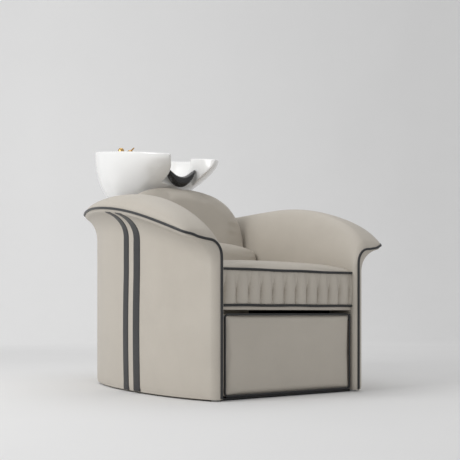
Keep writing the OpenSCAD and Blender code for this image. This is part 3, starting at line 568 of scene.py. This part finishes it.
def insideX(v):
    L = arm["length"]
    return innerX - arm["wrap"] * ease((v - arm["wrapAt"] * L) / ((1 - arm["wrapAt"]) * L))


def ridgeX(v):
    return mix(insideX(v), rimX(v), 0.45)


def rimZ(v):
    rise = 1 - (1 - np.clip(v / (0.91 * arm["length"]), 0, 1)) ** 2.3
    return arm["tipHigh"] + arm["rimRise"] * rise - rearTurn(v, arm["rearRound"]) / 3


def ridgeZ(v):
    s = np.clip(v / (0.62 * arm["length"]), 0, 1)
    beyond = np.maximum(0, v / arm["length"] - 0.62) / 0.28
    high = arm["ridgeHigh"] * np.clip(1 - (1 - s) ** 2, 0, 1) ** 0.68
    return 0.534 + high - 0.008 * beyond ** 2 - rearTurn(v, 0.060)


def shoulderZ(v):
    return 0.445 + 0.060 * np.clip(v / (0.5 * arm["length"]), 0, 1)


def crestZ(w):
    # the arm's front edge: up from the crest beside the seat, over and out to the tip
    return arm["crestHigh"] + 0.049 * (1 - (1 - np.clip(w / 0.055, 0, 1)) ** 2.5) ** 0.6 + 0.013 * np.maximum(0, w - 0.057) / 0.079


crestX = innerX + arm["crestIn"]
crestWide = float(rimX(np.array(0.0))) - crestX


def armSection(v, turns):
    # over the top from the inside (180 degrees) to the rim (0)
    c, s = np.cos(turns), np.sin(turns)
    inside = turns > np.pi / 2
    # the roll is a quarter ellipse at the back and squarer, exponent 3.2, towards its tip
    power = 2 / mix(3.2, 2.0, ease(v / 0.30))
    outerX = mix(ridgeX(v), rimX(v), np.clip(c, 0, 1) ** power)
    outerZ = mix(rimZ(v), ridgeZ(v), np.clip(s, 0, 1) ** power)
    topX = np.where(inside, ridgeX(v) + (ridgeX(v) - insideX(v)) * c, outerX)
    topZ = np.where(inside, mix(shoulderZ(v), ridgeZ(v), s), outerZ)
    return topX, topZ


def coveSection(v, turns):
    # under the rim (90 degrees) and down the hollow to the side (0)
    c, s = np.cos(turns), np.sin(turns)
    x = mix(rimX(v), sideX(v), c)
    # a rounded lip, 13 mm deep and 18 mm wide, hangs under the rim before the hollow begins
    lip = arm["lipDeep"] * quarter((rimX(v) - x) / arm["lipWide"]) * (1 - ease((1 - s) / 0.9))
    return x, rimZ(v) - 0.0035 - arm["coveHigh"] * (1 - s) - lip


def drawIn(v, x, z, start):
    # near the front the section is drawn on to the front edge's line
    share = np.clip((x - start) / np.maximum(rimX(v) - start, 1e-6), 0, 1)
    w = share * crestWide
    amount = np.maximum(0.12, quarter(v / 0.020))
    return mix(crestX + w, x, amount), mix(crestZ(w), z, amount)


def sideFold(v, z):
    # upholstery: the long side swells a little between the rim and the floor
    high = np.clip((z - 0.02) / 0.42, 0, 1)
    along = np.clip(v / 0.25, 0, 1) * np.clip((arm["length"] - v) / 0.2, 0, 1)
    return 0.0030 * np.sin(np.pi * high) * ease(along)


def armRings(stations, columns):
    v = stations[:, None]
    top = np.linspace(np.pi, 0, columns)[None, :]
    cove = np.linspace(np.pi / 2, 0, columns)[None, :]
    topX, topZ = armSection(v, top)
    topX, topZ = drawIn(v, topX, topZ, insideX(v))
    outX, outZ = coveSection(v, cove)
    outX, outZ = drawIn(v, outX, outZ, sideX(v))
    low = np.linspace(0, 1, 34)[None, :] ** 1.0
    bottom = arm["floorGap"]
    # the straight inner and outer walls get rows of their own, down to the floor gap with a 6 mm turned hem
    innerZ = mix(topZ[:, :1], bottom, low)
    innerWall = topX[:, :1] + 0 * low - 0.004 * (1 - quarter((innerZ - bottom) / 0.006)) * -1
    outerZ = mix(outZ[:, -1:], bottom, low)
    outerWall = outX[:, -1:] + sideFold(v, outerZ) - 0.004 * (1 - quarter((outerZ - bottom) / 0.006))
    x = np.concatenate([innerWall[:, ::-1], topX[:, 1:], outX[:, 1:], outerWall[:, 1:]], axis=1)
    z = np.concatenate([innerZ[:, ::-1], topZ[:, 1:], outZ[:, 1:], outerZ[:, 1:]], axis=1)
    return stack3(x, frontY + v, z)


def armStations(count):
    front = 0.030 * (1 - np.cos(np.linspace(0, np.pi / 2, 14)))
    rear = arm["length"] - 0.060 * (1 - np.cos(np.linspace(0, np.pi / 2, 14)))[::-1]
    return np.concatenate([front, np.linspace(front[-1], rear[0], count)[1:-1], rear])


def makeArm(name, side, node):
    rings = armRings(armStations(130), 40)
    # the rings are turned to their side, and both ends are closed rung by rung
    rings[..., 0] *= side
    rows, cols = rings.shape[:2]
    faces = [gridFaces(rows, cols, closed=True)]
    points = rings.reshape(-1, 3)
    half = cols // 2
    for start in (0, (rows - 1) * cols):
        k = np.arange(half - 1)
        faces.append(start + np.stack([k, k + 1, cols - 2 - k, cols - 1 - k], axis=-1))
    piece = makePiece(name, points, faces, smooth=50)
    return fit(piece, greige, "chair", node, slot="leatherette")


def makeArmPiping(name, side, node):
    r = arm["pipingRadius"]
    up = np.linspace(0.010, arm["crestHigh"], 60)
    over = np.linspace(0, crestWide, 50)[1:]
    back = np.concatenate([np.linspace(0.001, 0.03, 14), np.linspace(0.035, arm["length"] - 0.003, 150)])
    route = np.concatenate([
        stack3(crestX, -0.0015, up), stack3(crestX + over, -0.0015, crestZ(over)),
        stack3(rimX(back) + 0.0015, back, rimZ(back))])
    route = resample(route, 420)
    for _ in range(6):                # a cord under tension rounds the corner at the arm's tip
        route[1:-1] = (route[:-2] + 2 * route[1:-1] + route[2:]) / 4
    route[:, 1] += frontY
    route[:, 0] *= side
    slant = np.array([0.37 * side, -0.55, 0.75]) / 1.0
    along = np.gradient(route, axis=0)
    along /= np.linalg.norm(along, axis=1, keepdims=True)
    # frame carried along the route, so that the cord doesn't twist
    first = np.cross(along[0], slant)
    frames = [first / np.linalg.norm(first)]
    for k in range(1, len(route)):
        turned = frames[-1] - along[k] * np.dot(frames[-1], along[k])
        frames.append(turned / np.linalg.norm(turned))
    a = np.array(frames)
    b = np.cross(along, a)
    turn = np.linspace(0, 2 * np.pi, 14, endpoint=False)[None, :, None]
    rings = route[:, None, :] + r * (np.cos(turn) * a[:, None, :] + np.sin(turn) * b[:, None, :])
    piece = ringPiece(name, rings, smooth=60)
    return fit(piece, inkBlack, "chair", node, slot="leatherette_dark")


def makeStripes(name, side, node):
    # flat strips that follow the cove and the side, stitched along both edges
    points, faces, start = [], [], 0
    for place, width in arm["stripes"]:
        across = np.concatenate([[-1, -1], np.linspace(-0.985, 0.985, 15), [1, 1]])
        depth = np.concatenate([[-0.001, 0.0006], np.full(15, arm["stripeProud"]), [0.0006, -0.001]])
        groove = 0.0007 * np.exp(-((np.abs(across) - 0.84) / 0.035) ** 2)
        v = (place * arm["length"] + across * width / 2)[:, None]
        turns = np.linspace(math.radians(86), 0, 40)[None, :]
        x, z = coveSection(v, turns)
        low = np.linspace(0, 1, 60)[None, :]
        wallZ = mix(z[:, -1:], 0.008, low)[:, 1:]
        wallX = x[:, -1:] + sideFold(v, wallZ) + 0.0003
        x, z = np.concatenate([x, wallX], axis=1), np.concatenate([z, wallZ], axis=1)
        # outward direction in the section, from the slope of the line
        dx, dz = np.gradient(x, axis=1), np.gradient(z, axis=1)
        size = np.hypot(dx, dz)
        lift = (depth - groove)[:, None]
        grid = stack3(side * (x - dz / size * lift), frontY + v, z + dx / size * lift)
        points.append(grid.reshape(-1, 3))
        faces.append(gridFaces(*grid.shape[:2]) + start)
        start += len(points[-1])
    piece = makePiece(name, np.vstack(points), faces, smooth=50)
    shell = piece.modifiers.new("backing", "SOLIDIFY")
    shell.thickness = 0.0008
    shell.offset = -1
    useModifiers(piece)
    return fit(piece, inkBlack, "chair", node, slot="leatherette_dark")


for side, label in ((1, "left"), (-1, "right")):
    handed = 1 if corners("arm_left")[0][0] > 0 else -1
    handed = handed * side
    makeArm("armShell_" + label, handed, "arm_" + label)
    makeArmPiping("armPiping_" + label, handed, "arm_piping_" + label)
    makeStripes("armStripes_" + label, handed, "arm_stripes_" + label)
print("arms made")


# ---- seat: a domed cushion top over a border sewn in upright channels

seat = dict(
    pipeTop=0.440, pipeLow=0.318, front=0.020, depth=0.580, crown=0.030,
    channels=0.0514, swell=0.0190, seamDepth=0.012, voxel=0.0055, pressure=3.0, cap=0.010)


def makeSeat():
    half = innerX - 0.0006
    # top: closed form between the piping and the crown, a quarter ellipse 90 mm deep in front
    turns = np.linspace(0, np.pi / 2, 16)
    frontLine = stack3(seat["front"] + 0.090 * (1 - np.cos(turns)), seat["pipeTop"] - 0.001 + seat["crown"] * np.sin(turns), 0)[:, :2]
    section = np.concatenate([frontLine, [[0.30, 0.469], [0.45, 0.4665], [0.57, 0.4625], [0.580, 0.455], [0.580, 0.370],
                                          [0.50, 0.355], [0.12, 0.355], [0.030, 0.36], [0.021, 0.400]]])
    across = np.linspace(-half + 0.001, half - 0.001, 60)[:, None]
    rings = stack3(across, frontY + section[None, :, 0], section[None, :, 1])
    top = ringPiece("seatTop", rings, 50)
    inflate(top, seat["voxel"], seat["pressure"], seat["cap"],
            hold=lambda p: np.where((p[:, 2] < 0.425) | (np.abs(p[:, 0]) > half - 0.012), 1.0, 0.0))
    relax(top, 4)
    p = coordinates(top)
    x, y, z = p.T
    v = y - frontY
    # the cushion is fullest in the middle and sinks towards the arms; two soft dents where people sit
    edge = np.clip((half - np.abs(x)) / 0.10, 0, 1)
    face = np.clip((z - 0.436) / 0.02, 0, 1)
    dents = np.exp(-((np.abs(x) - 0.13) / 0.12) ** 2 - ((v - 0.34) / 0.15) ** 2)
    z = z + face * (0.0035 * np.sin(edge * np.pi / 2) - 0.0030 - 0.0025 * dents)
    x = np.clip(x, -half, half)
    y = np.maximum(y, frontY + 0.0185)
    moveTo(top, stack3(x, y, z))
    top.data.shade_smooth()
    subdivide(top)
    fit(top, greige, "chair", "seat_cushion", slot="leatherette")

    # border: each channel swells as a half sine between seams, and pinches at the piping above and below
    u = np.linspace(-1, 1, 521)[:, None] * half
    cell = np.abs(np.sin(np.pi * (u / seat["channels"] - 0.5)))
    h = np.linspace(0, 1, 56)[None, :]
    z = mix(seat["pipeLow"] + 0.001, seat["pipeTop"] - 0.001, h)
    upright = np.clip(np.sin(np.pi * h), 0, 1) ** 0.42
    pucker = 0.0009 * np.sin(2 * np.pi * z / 0.011 + 3 * np.sin(u / seat["channels"] * 7)) * np.exp(-(cell / 0.42) ** 2)
    out = (seat["swell"] * cell ** 0.62 - seat["seamDepth"] * 0.5 + pucker) * upright
    v = seat["front"] + 0.0035 - out
    face = stack3(u, frontY + v, z)
    back = stack3(u, frontY + 0.045, z[:, ::-1])
    border = ringPiece("seatBorder", np.concatenate([face, back], axis=1), 50)
    fit(border, greige, "chair", "seat_cushion", slot="leatherette")


def makeSeatPiping():
    rings = []
    for k, z in enumerate((seat["pipeTop"], seat["pipeLow"])):
        x = np.linspace(-innerX + 0.0012, innerX - 0.0012, 160)
        route = stack3(x, frontY + seat["front"] - 0.001 + 0.0007 * np.sin(x * 41), z + 0.0006 * np.sin(x * 29 + k))
        piece = ringPiece("seatPiping%d" % k, tubeRings(route, 0.0046, np.array([0, 0, 1.0])), 60)
        fit(piece, inkBlack, "chair", "seat_piping", slot="leatherette_dark")


makeSeat()
makeSeatPiping()
print("seat made")


# ---- back: an arched pad and a lumbar cushion, each swelled as cloth

backPad = dict(half=innerX - 0.0006, low=0.430, spring=0.600, top=0.824, front=0.646, thick=0.105, edge=0.042,
               lean=0.2, voxel=0.0060, pressure=1.8, cap=0.007)
lumbarPad = dict(half=innerX - 0.0006, low=0.460, spring=0.534, top=0.592, front=0.576, thick=0.0767, edge=0.034,
                 lean=0.2, voxel=0.0050, pressure=2.0, cap=0.006)


def padOutline(size):
    # straight sides up to the spring line, then a superellipse of exponent 2.6 over the top
    turns = np.radians(np.linspace(0, 180, 61))
    c, s = np.cos(turns), np.sin(turns)
    x = size["half"] * np.sign(c) * np.abs(c) ** (2 / 2.6)
    z = size["spring"] + (size["top"] - size["spring"]) * np.clip(s, 0, 1) ** (2 / 2.6)
    wall = np.linspace(size["low"] + 0.012, size["spring"], 8)[:-1]
    left = stack3(-size["half"], wall[::-1], 0)[:, :2]
    right = stack3(size["half"], wall, 0)[:, :2]
    floor = stack3(np.linspace(-size["half"] + 0.012, size["half"] - 0.012, 30), size["low"], 0)[:, :2]
    return np.concatenate([floor, right, np.stack([x, z], axis=-1), left])


def makePad(name, size, node):
    line = padOutline(size)
    turns = np.linspace(0, np.pi / 2, 8)
    depth = np.concatenate([size["edge"] * (1 - np.cos(turns)), size["thick"] - size["edge"] * (1 - np.cos(turns[::-1]))])
    inset = np.concatenate([1 - np.sin(turns), 1 - np.sin(turns[::-1])]) * size["edge"]
    middle = (size["low"] + size["top"]) / 2
    x = line[None, :, 0] * (1 - inset[:, None] / size["half"])
    z = mix(line[None, :, 1], middle, inset[:, None] / (size["top"] - middle))
    y = frontY + size["front"] + depth[:, None] + size["lean"] * (z - size["low"])
    piece = ringPiece(name, stack3(x, y, z), 60)
    low, high = coordinates(piece).min(axis=0), coordinates(piece).max(axis=0)
    inflate(piece, size["voxel"], size["pressure"], size["cap"],
            hold=lambda p: np.where(np.abs(p[:, 0]) > size["half"] - 0.014, 1.0, 0.0))
    relax(piece, 16)
    p = coordinates(piece)
    moveTo(piece, np.clip(p, [low[0], low[1] - 0.006, low[2]], [high[0], high[1] + 0.002, high[2] + 0.003]))
    piece.data.shade_smooth()
    subdivide(piece)
    return fit(piece, greige, "chair", node, slot="leatherette")


makePad("backrestPad", backPad, "backrest_pad")
makePad("lumbarCushion", lumbarPad, "lumbar_cushion")
print("back made")


# ---- leg rest: a padded panel with a loop of piping

legrest = dict(half=innerX - 0.008, low=0.011, high=0.290, front=0.020, pad=0.035, corner=0.012, voxel=0.0045,
               pressure=1.6, cap=0.004)


def roundedLoop(half, low, high, corner, steps=10):
    turns = np.linspace(0, np.pi / 2, steps)
    middle, tall = (low + high) / 2, (high - low) / 2
    line = []
    for quarterTurn, (sx, sz) in enumerate(((1, 1), (-1, 1), (-1, -1), (1, -1))):
        t = turns + quarterTurn * np.pi / 2
        line.append(np.stack([sx * (half - corner) + corner * np.cos(t), middle + sz * (tall - corner) + corner * np.sin(t)], axis=-1))
    return resample(np.concatenate(line), 300, closed=True)


def makeLegrest():
    size = legrest
    body = "legrest"
    pad = roundedBox("legrestPanel", (-size["half"] + 0.0006, frontY + size["front"] - 0.001, size["low"] + 0.0006),
                     (size["half"] - 0.0006, frontY + size["front"] + size["pad"], size["high"] - 0.0006), 0.009, 0.01)
    back = frontY + size["front"] + size["pad"]
    inflate(pad, size["voxel"], size["pressure"], size["cap"],
            hold=lambda p: np.where(p[:, 1] > back - 0.016, 1.0, 0.0))
    relax(pad, 8)
    x, y, z = coordinates(pad).T
    # the face is drawn down at the piping and full in the middle
    edge = np.minimum(np.minimum(size["half"] - np.abs(x), z - size["low"]), size["high"] - z)
    face = np.clip((frontY + size["front"] + 0.012 - y) / 0.008, 0, 1)
    y = y + face * 0.0035 * np.exp(-(edge / 0.014) ** 2)
    x = np.clip(x, -size["half"], size["half"])
    z = np.clip(z, size["low"], size["high"])
    y = np.clip(y, frontY + size["front"] - 0.0090, back)
    moveTo(pad, stack3(x, y, z))
    pad.data.shade_smooth()
    subdivide(pad)
    fit(pad, greige, body, "legrest_pad", slot="leatherette")
    line = roundedLoop(size["half"] - 0.003, size["low"] + 0.003, size["high"] - 0.003, size["corner"])
    route = stack3(line[:, 0], frontY + size["front"] - 0.0005, line[:, 1])
    piping = loopPiece("legrestPiping", tubeRings(route, 0.0035, np.array([0, 1.0, 0]), closed=True))
    fit(piping, inkBlack, body, "legrest_piping", slot="leatherette_dark")


makeLegrest()
print("leg rest made")


# ---- bowl: a glazed body with wings, its basin, the neck opening and the deck for the taps

drainY = frontY + 1.087
bowlSize = dict(
    low=0.780, foot=0.078, side=0.220, fore=0.448, aft=0.220,
    wing=0.942, slope=0.155, lift=0.036, liftRound=0.6,
    basinLow=0.796, basinFoot=0.038, basinSide=0.196, basinFore=0.290, basinAft=0.136,
    neck=0.076, neckHigh=0.856, neckBack=0.787, drain=0.026, flare=0.085,
    voxel=0.0030, softening=7)


def bowlReach(a, side, fore, aft, exponent):
    along = np.where(np.cos(a) > 0, fore, aft)
    n = np.where(np.cos(a) > 0, 3.0, exponent)
    return 1 / ((np.abs(np.sin(a)) / side) ** n + (np.abs(np.cos(a)) / along) ** n) ** (1 / n)


def bowlRings(levels, low, foot, lift, side, fore, aft, exponent, steps=192):
    # ring at level s: radius from the foot to the reach by sin(90 s)^0.85, height from the foot to the rim by 1 - cos(90 s)
    size = bowlSize
    a = np.linspace(0, 2 * np.pi, steps, endpoint=False)[None, :]
    s = np.asarray(levels, float)[:, None]
    t = np.minimum(s, 1)
    full = bowlReach(a, side, fore, aft, exponent)
    r = mix(foot, full, np.sin(np.pi / 2 * t) ** 0.85)
    rim = size["wing"] + size["slope"] * (-full * np.cos(a) + size["fore"] - 0.008)
    front = ease((np.cos(a) - 0.2) / size["liftRound"])
    z = mix(low, rim, 1 - np.cos(np.pi / 2 * t)) + lift * front * np.sin(np.pi * t) + 0.080 * np.maximum(0, s - 1)
    return stack3(r * np.sin(a), drainY - r * np.cos(a), z)


def cutter(name, low, high):
    low, high = np.array(low, float), np.array(high, float)
    corners8 = np.array([[low[0] if i & 4 else high[0], low[1] if i & 2 else high[1], low[2] if i & 1 else high[2]] for i in range(8)])
    quads = np.array([[0, 1, 3, 2], [4, 6, 7, 5], [0, 4, 5, 1], [2, 3, 7, 6], [0, 2, 6, 4], [1, 5, 7, 3]])
    return makePiece(name, corners8, [quads])


def carve(piece, tool):
    cut = piece.modifiers.new("cut", "BOOLEAN")
    cut.operation = "DIFFERENCE"
    cut.solver = "EXACT"
    cut.object = tool
    useModifiers(piece)
    bpy.data.objects.remove(tool)


def makeBowl():
    size = bowlSize
    levels = np.linspace(0, 1, 40) ** 0.9
    body = ringPiece("bowlBody", bowlRings(levels, size["low"], size["foot"], size["lift"], size["side"], size["fore"], size["aft"], 2), 50)
    basin = ringPiece("basin", bowlRings(np.concatenate([levels, [2]]), size["basinLow"], size["basinFoot"], 0, size["basinSide"],
                                         size["basinFore"], size["basinAft"], 2.6), 50)
    carve(body, basin)
    neckFront = frontY + 0.5
    neckBack = frontY + size["neckBack"]
    # plan of the neck gap: parallel sides that flare round the wings' inner corners
    arc = np.linspace(0, np.pi / 2, 14)
    tipY = drainY - size["fore"]
    flare = np.stack([size["neck"] + size["flare"] * (1 - np.cos(arc)), tipY + size["flare"] * (1.25 - np.sin(arc) * 1.25)], axis=-1)
    plan = np.concatenate([[[size["neck"], neckBack]], flare, [[size["neck"] + size["flare"], neckFront]]])
    plan = np.concatenate([plan, plan[::-1] * np.array([-1, 1])])
    carve(body, ringPiece("neckGap", stack3(plan[None, :, 0], plan[None, :, 1], np.array([[0.5], [1.3]])), 30))
    turn = np.linspace(np.pi, 2 * np.pi, 40)
    channel = np.concatenate([
        stack3(size["neck"] * np.cos(turn), size["neckHigh"] + size["neck"] + size["neck"] * np.sin(turn), 0)[:, :2],
        [[size["neck"], 1.3], [-size["neck"], 1.3]]])
    y = np.array([neckBack - 0.012, neckBack + 0.070])[:, None]
    carve(body, ringPiece("neckChannel", stack3(channel[None, :, 0], y, channel[None, :, 1]), 30))
    drain = lathe("drainHole", [(size["drain"], 0.7), (size["drain"], 0.82)], (0, drainY, 0))
    carve(body, drain)
    tapY = frontY + 1.262
    deck = size["wing"] + size["slope"] * (tapY - drainY + size["fore"] - 0.008) - 0.005
    carve(body, cutter("deckPocket", (-0.050, tapY - 0.022, 0.7), (0.050, tapY + 0.022, deck - 0.025)))
    for x in (-0.024, 0.024):
        carve(body, lathe("tapHole", [(0.0125, deck - 0.06), (0.0125, deck + 0.06)], (x, tapY, 0), 32))
    carve(body, cutter("deckRecess", (-0.054, tapY - 0.024, deck), (0.054, tapY + 0.024, 1.3)))
    remesh = body.modifiers.new("remesh", "REMESH")
    remesh.mode = "VOXEL"
    remesh.voxel_size = size["voxel"]
    useModifiers(body)
    relax(body, size["softening"], 0.6)
    body.data.shade_smooth()
    fit(body, china, "bowl", "bowl", slot="glazed_white")
    return tapY, deck


tapY, deckZ = makeBowl()


def makeNeckRest():
    # oval sections along X, thick in the middle and pointed at the ends: a moulded gel crescent
    half = bowlSize["neck"] - 0.002
    f = np.sin(np.radians(np.linspace(-88.5, 88.5, 61)))[:, None]
    t = np.sqrt(np.maximum(0.004, 1 - np.abs(f) ** 4))
    up = bowlSize["neckHigh"] + 0.018 + 0.050 * f * f
    low = bowlSize["neckHigh"] - 0.027 + 0.062 * f * f
    turns = np.linspace(0, 2 * np.pi, 40, endpoint=False)[None, :]
    # slightly squared oval, with a shallow groove where the mould halves meet
    c, s = np.cos(turns), np.sin(turns)
    groove = 1 - 0.012 * np.exp(-(s / 0.07) ** 2)
    wide = 0.0225 * t * np.sign(c) * np.abs(c) ** 0.85 * groove
    high = (up - low) / 2 * t * np.sign(s) * np.abs(s) ** 0.9
    y = frontY + bowlSize["neckBack"] - 0.0235 + wide
    rest = ringPiece("neckRest", stack3(half * f, y, (up + low) / 2 + high), 60)
    fit(rest, gel, "bowl", "neck_rest", slot="gel_black")


makeNeckRest()
print("bowl made")


# ---- taps on the deck, drain parts

def makeTaps():
    # profiles are (radius, height) from the deck, with small lips, grooves and rolled edges
    body = [(0, -0.045), (0.012, -0.045), (0.012, -0.001), (0.0196, -0.001), (0.0200, 0.0006), (0.0200, 0.0030), (0.0190, 0.0040),
            (0.0175, 0.0046), (0.0168, 0.0064), (0.0168, 0.0080), (0.0164, 0.0086), (0.0160, 0.0092), (0.0160, 0.0170),
            (0.0154, 0.0178), (0.0052, 0.0180), (0.0050, 0.0238), (0, 0.0240)]
    fit(lathe("mixerBody", body, (0.024, tapY, deckZ), 64), brass, "bowl", "mixer_body", slot="brass")
    holder = [(0.0091, -0.037), (0.0120, -0.037), (0.0120, -0.001), (0.0176, -0.001), (0.0180, 0.0006), (0.0180, 0.0032),
              (0.0170, 0.0046), (0.0152, 0.0066), (0.0148, 0.0076), (0.0140, 0.0080), (0.0096, 0.0080), (0.0091, 0.0074),
              (0.0091, -0.037)]
    ring = np.array(holder[:-1])
    turn = np.linspace(0, 2 * np.pi, 64, endpoint=False)[:, None]
    rings = stack3(-0.024 + ring[None, :, 0] * np.cos(turn), tapY + ring[None, :, 0] * np.sin(turn), deckZ + ring[None, :, 1] + 0 * turn)
    fit(loopPiece("showerHolder", rings, 35), brass, "bowl", "shower_holder", slot="brass")
    shower = [(0, -0.030), (0.0064, -0.030), (0.0072, -0.0292), (0.0088, -0.0264), (0.0090, -0.0250), (0.0090, 0.0), (0.0114, 0.0),
              (0.0122, 0.0006), (0.0128, 0.0026), (0.0140, 0.0080), (0.0141, 0.0110), (0.0136, 0.0114), (0.0136, 0.0124),
              (0.0141, 0.0128), (0.0141, 0.0250), (0.0136, 0.0276), (0.0112, 0.0326), (0.0092, 0.0348), (0.0064, 0.0358),
              (0.0060, 0.0352), (0, 0.0350)]
    fit(lathe("handShower", shower, (-0.024, tapY, deckZ + 0.0083), 64), brass, "hand_shower", "hand_shower", slot="brass")


makeTaps()


def makeDrain():
    z = bowlSize["low"]
    flange = [(0.0220, -0.0440), (0.0255, -0.0440), (0.0255, 0.0150), (0.0352, 0.0160), (0.0360, 0.0168), (0.0356, 0.0184),
              (0.0340, 0.0192), (0.0240, 0.0190), (0.0224, 0.0180), (0.0220, 0.0160)]
    ring = np.array(flange)
    turn = np.linspace(0, 2 * np.pi, 72, endpoint=False)[:, None]
    rings = stack3(ring[None, :, 0] * np.cos(turn), drainY + ring[None, :, 0] * np.sin(turn), z + ring[None, :, 1] + 0 * turn)
    fit(loopPiece("drainFlange", rings, 35), chrome, "bowl", "drain_flange", slot="chrome")


makeDrain()


# ---- waste hose: corrugated, hangs straight down under the drain to 180 mm above the floor

def makeHose():
    top, low = bowlSize["low"] - 0.044, 0.180
    pitch = 0.0066
    z = np.linspace(low, top, 1100)
    ends = np.clip(np.minimum(z - low, top - z) / 0.018, 0, 1)
    r = 0.0242 + 0.0016 * np.sin(2 * np.pi * z / pitch) * np.where(ends < 1, 0, 1)
    profile = np.concatenate([np.stack([r, z], axis=-1), np.stack([np.full(80, 0.0221), np.linspace(top, low, 80)], axis=-1)])
    turn = np.linspace(0, 2 * np.pi, 40, endpoint=False)[:, None]
    rings = stack3(profile[None, :, 0] * np.cos(turn), drainY + profile[None, :, 0] * np.sin(turn), profile[None, :, 1] + 0 * turn)
    hose = loopPiece("wasteHose", rings, 60)
    hose.data.materials.append(blackAbs)
    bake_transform(hose)
    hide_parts("waste_hose")


makeHose()
print("taps, drain and hose made")


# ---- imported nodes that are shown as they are, or as a copy with softened edges

nodeLooks = {
    "arm_frame_left": ply, "arm_frame_right": ply, "back_panel": greige, "backrest_board": ply, "seat_board": ply,
    "seat_rail": greige, "base_frame": blackCoat, "plinth": blackAbs, "glides": greyAbs, "legrest_board": ply,
    "legrest_lever": zincSteel, "legrest_brackets": blackCoat, "legrest_pins": zincSteel, "actuator_body": greyAbs,
    "actuator_motor": blackAbs, "actuator_rod": ground, "column_frame": blackCoat, "column_cover": greigeCoat,
    "column_door": greigeCoat, "door_knob": brass, "door_hinge": zincSteel, "tilt_bracket": blackCoat,
    "tilt_cradle": blackCoat, "tilt_pin": zincSteel, "tilt_lever": blackAbs, "drain_nut": blackAbs, "strainer": chrome,
    "waste_spigot": greyAbs, "supply_valves": chrome, "valve_handle_hot": redAbs, "valve_handle_cold": blueAbs,
    "mixer_nut": zincSteel, "mixer_cap": brass, "mixer_lever": brass, "switch_plate": blackAbs, "button_up": greyAbs,
    "button_down": greyAbs}
softEdges = {
    "column_cover": 0.0025, "column_door": 0.0030, "seat_rail": 0.0030, "back_panel": 0.0030, "plinth": 0.0015,
    "switch_plate": 0.0012, "tilt_lever": 0.0008, "actuator_motor": 0.0015, "actuator_body": 0.0015, "column_frame": 0.0010,
    "base_frame": 0.0015, "legrest_board": 0.0006, "seat_board": 0.0006, "backrest_board": 0.0006, "legrest_lever": 0.0006,
    "legrest_brackets": 0.0006, "tilt_bracket": 0.0008, "tilt_cradle": 0.0008, "valve_handle_hot": 0.0008,
    "valve_handle_cold": 0.0008, "button_up": 0.0005, "button_down": 0.0005, "door_knob": 0.0008, "strainer": 0.0004}
bodyOf = {node: body for body, nodes in frame["record"]["behaviour"]["bodies"].items() for node in nodes}
slotOf = {entry["node"]: entry["material_slot"] for entry in frame["record"]["subparts"]}

for name, material in nodeLooks.items():
    shown = frame["nodes"][name]
    if name in softEdges:
        copy = bpy.data.objects.new("soft_" + name, shown.data.copy())
        bpy.context.scene.collection.objects.link(copy)
        work = bmesh.new()
        work.from_mesh(copy.data)
        bmesh.ops.remove_doubles(work, verts=work.verts, dist=2e-5)
        bmesh.ops.dissolve_limit(work, angle_limit=math.radians(1.5), verts=work.verts, edges=work.edges)
        bmesh.ops.recalc_face_normals(work, faces=work.faces)
        work.to_mesh(copy.data)
        work.free()
        bevel = copy.modifiers.new("soft edge", "BEVEL")
        bevel.width = softEdges[name]
        bevel.segments = 2
        bevel.limit_method = "ANGLE"
        bevel.angle_limit = math.radians(50)
        bevel.use_clamp_overlap = True
        useModifiers(copy)
        copy.data.shade_smooth()
        copy.data.set_sharp_from_angle(angle=math.radians(35))
        fit(copy, material, bodyOf.get(name, "chair"), name, slot=slotOf[name])
    else:
        shown.data.materials.clear()
        shown.data.materials.append(material)
print("packed nodes dressed")
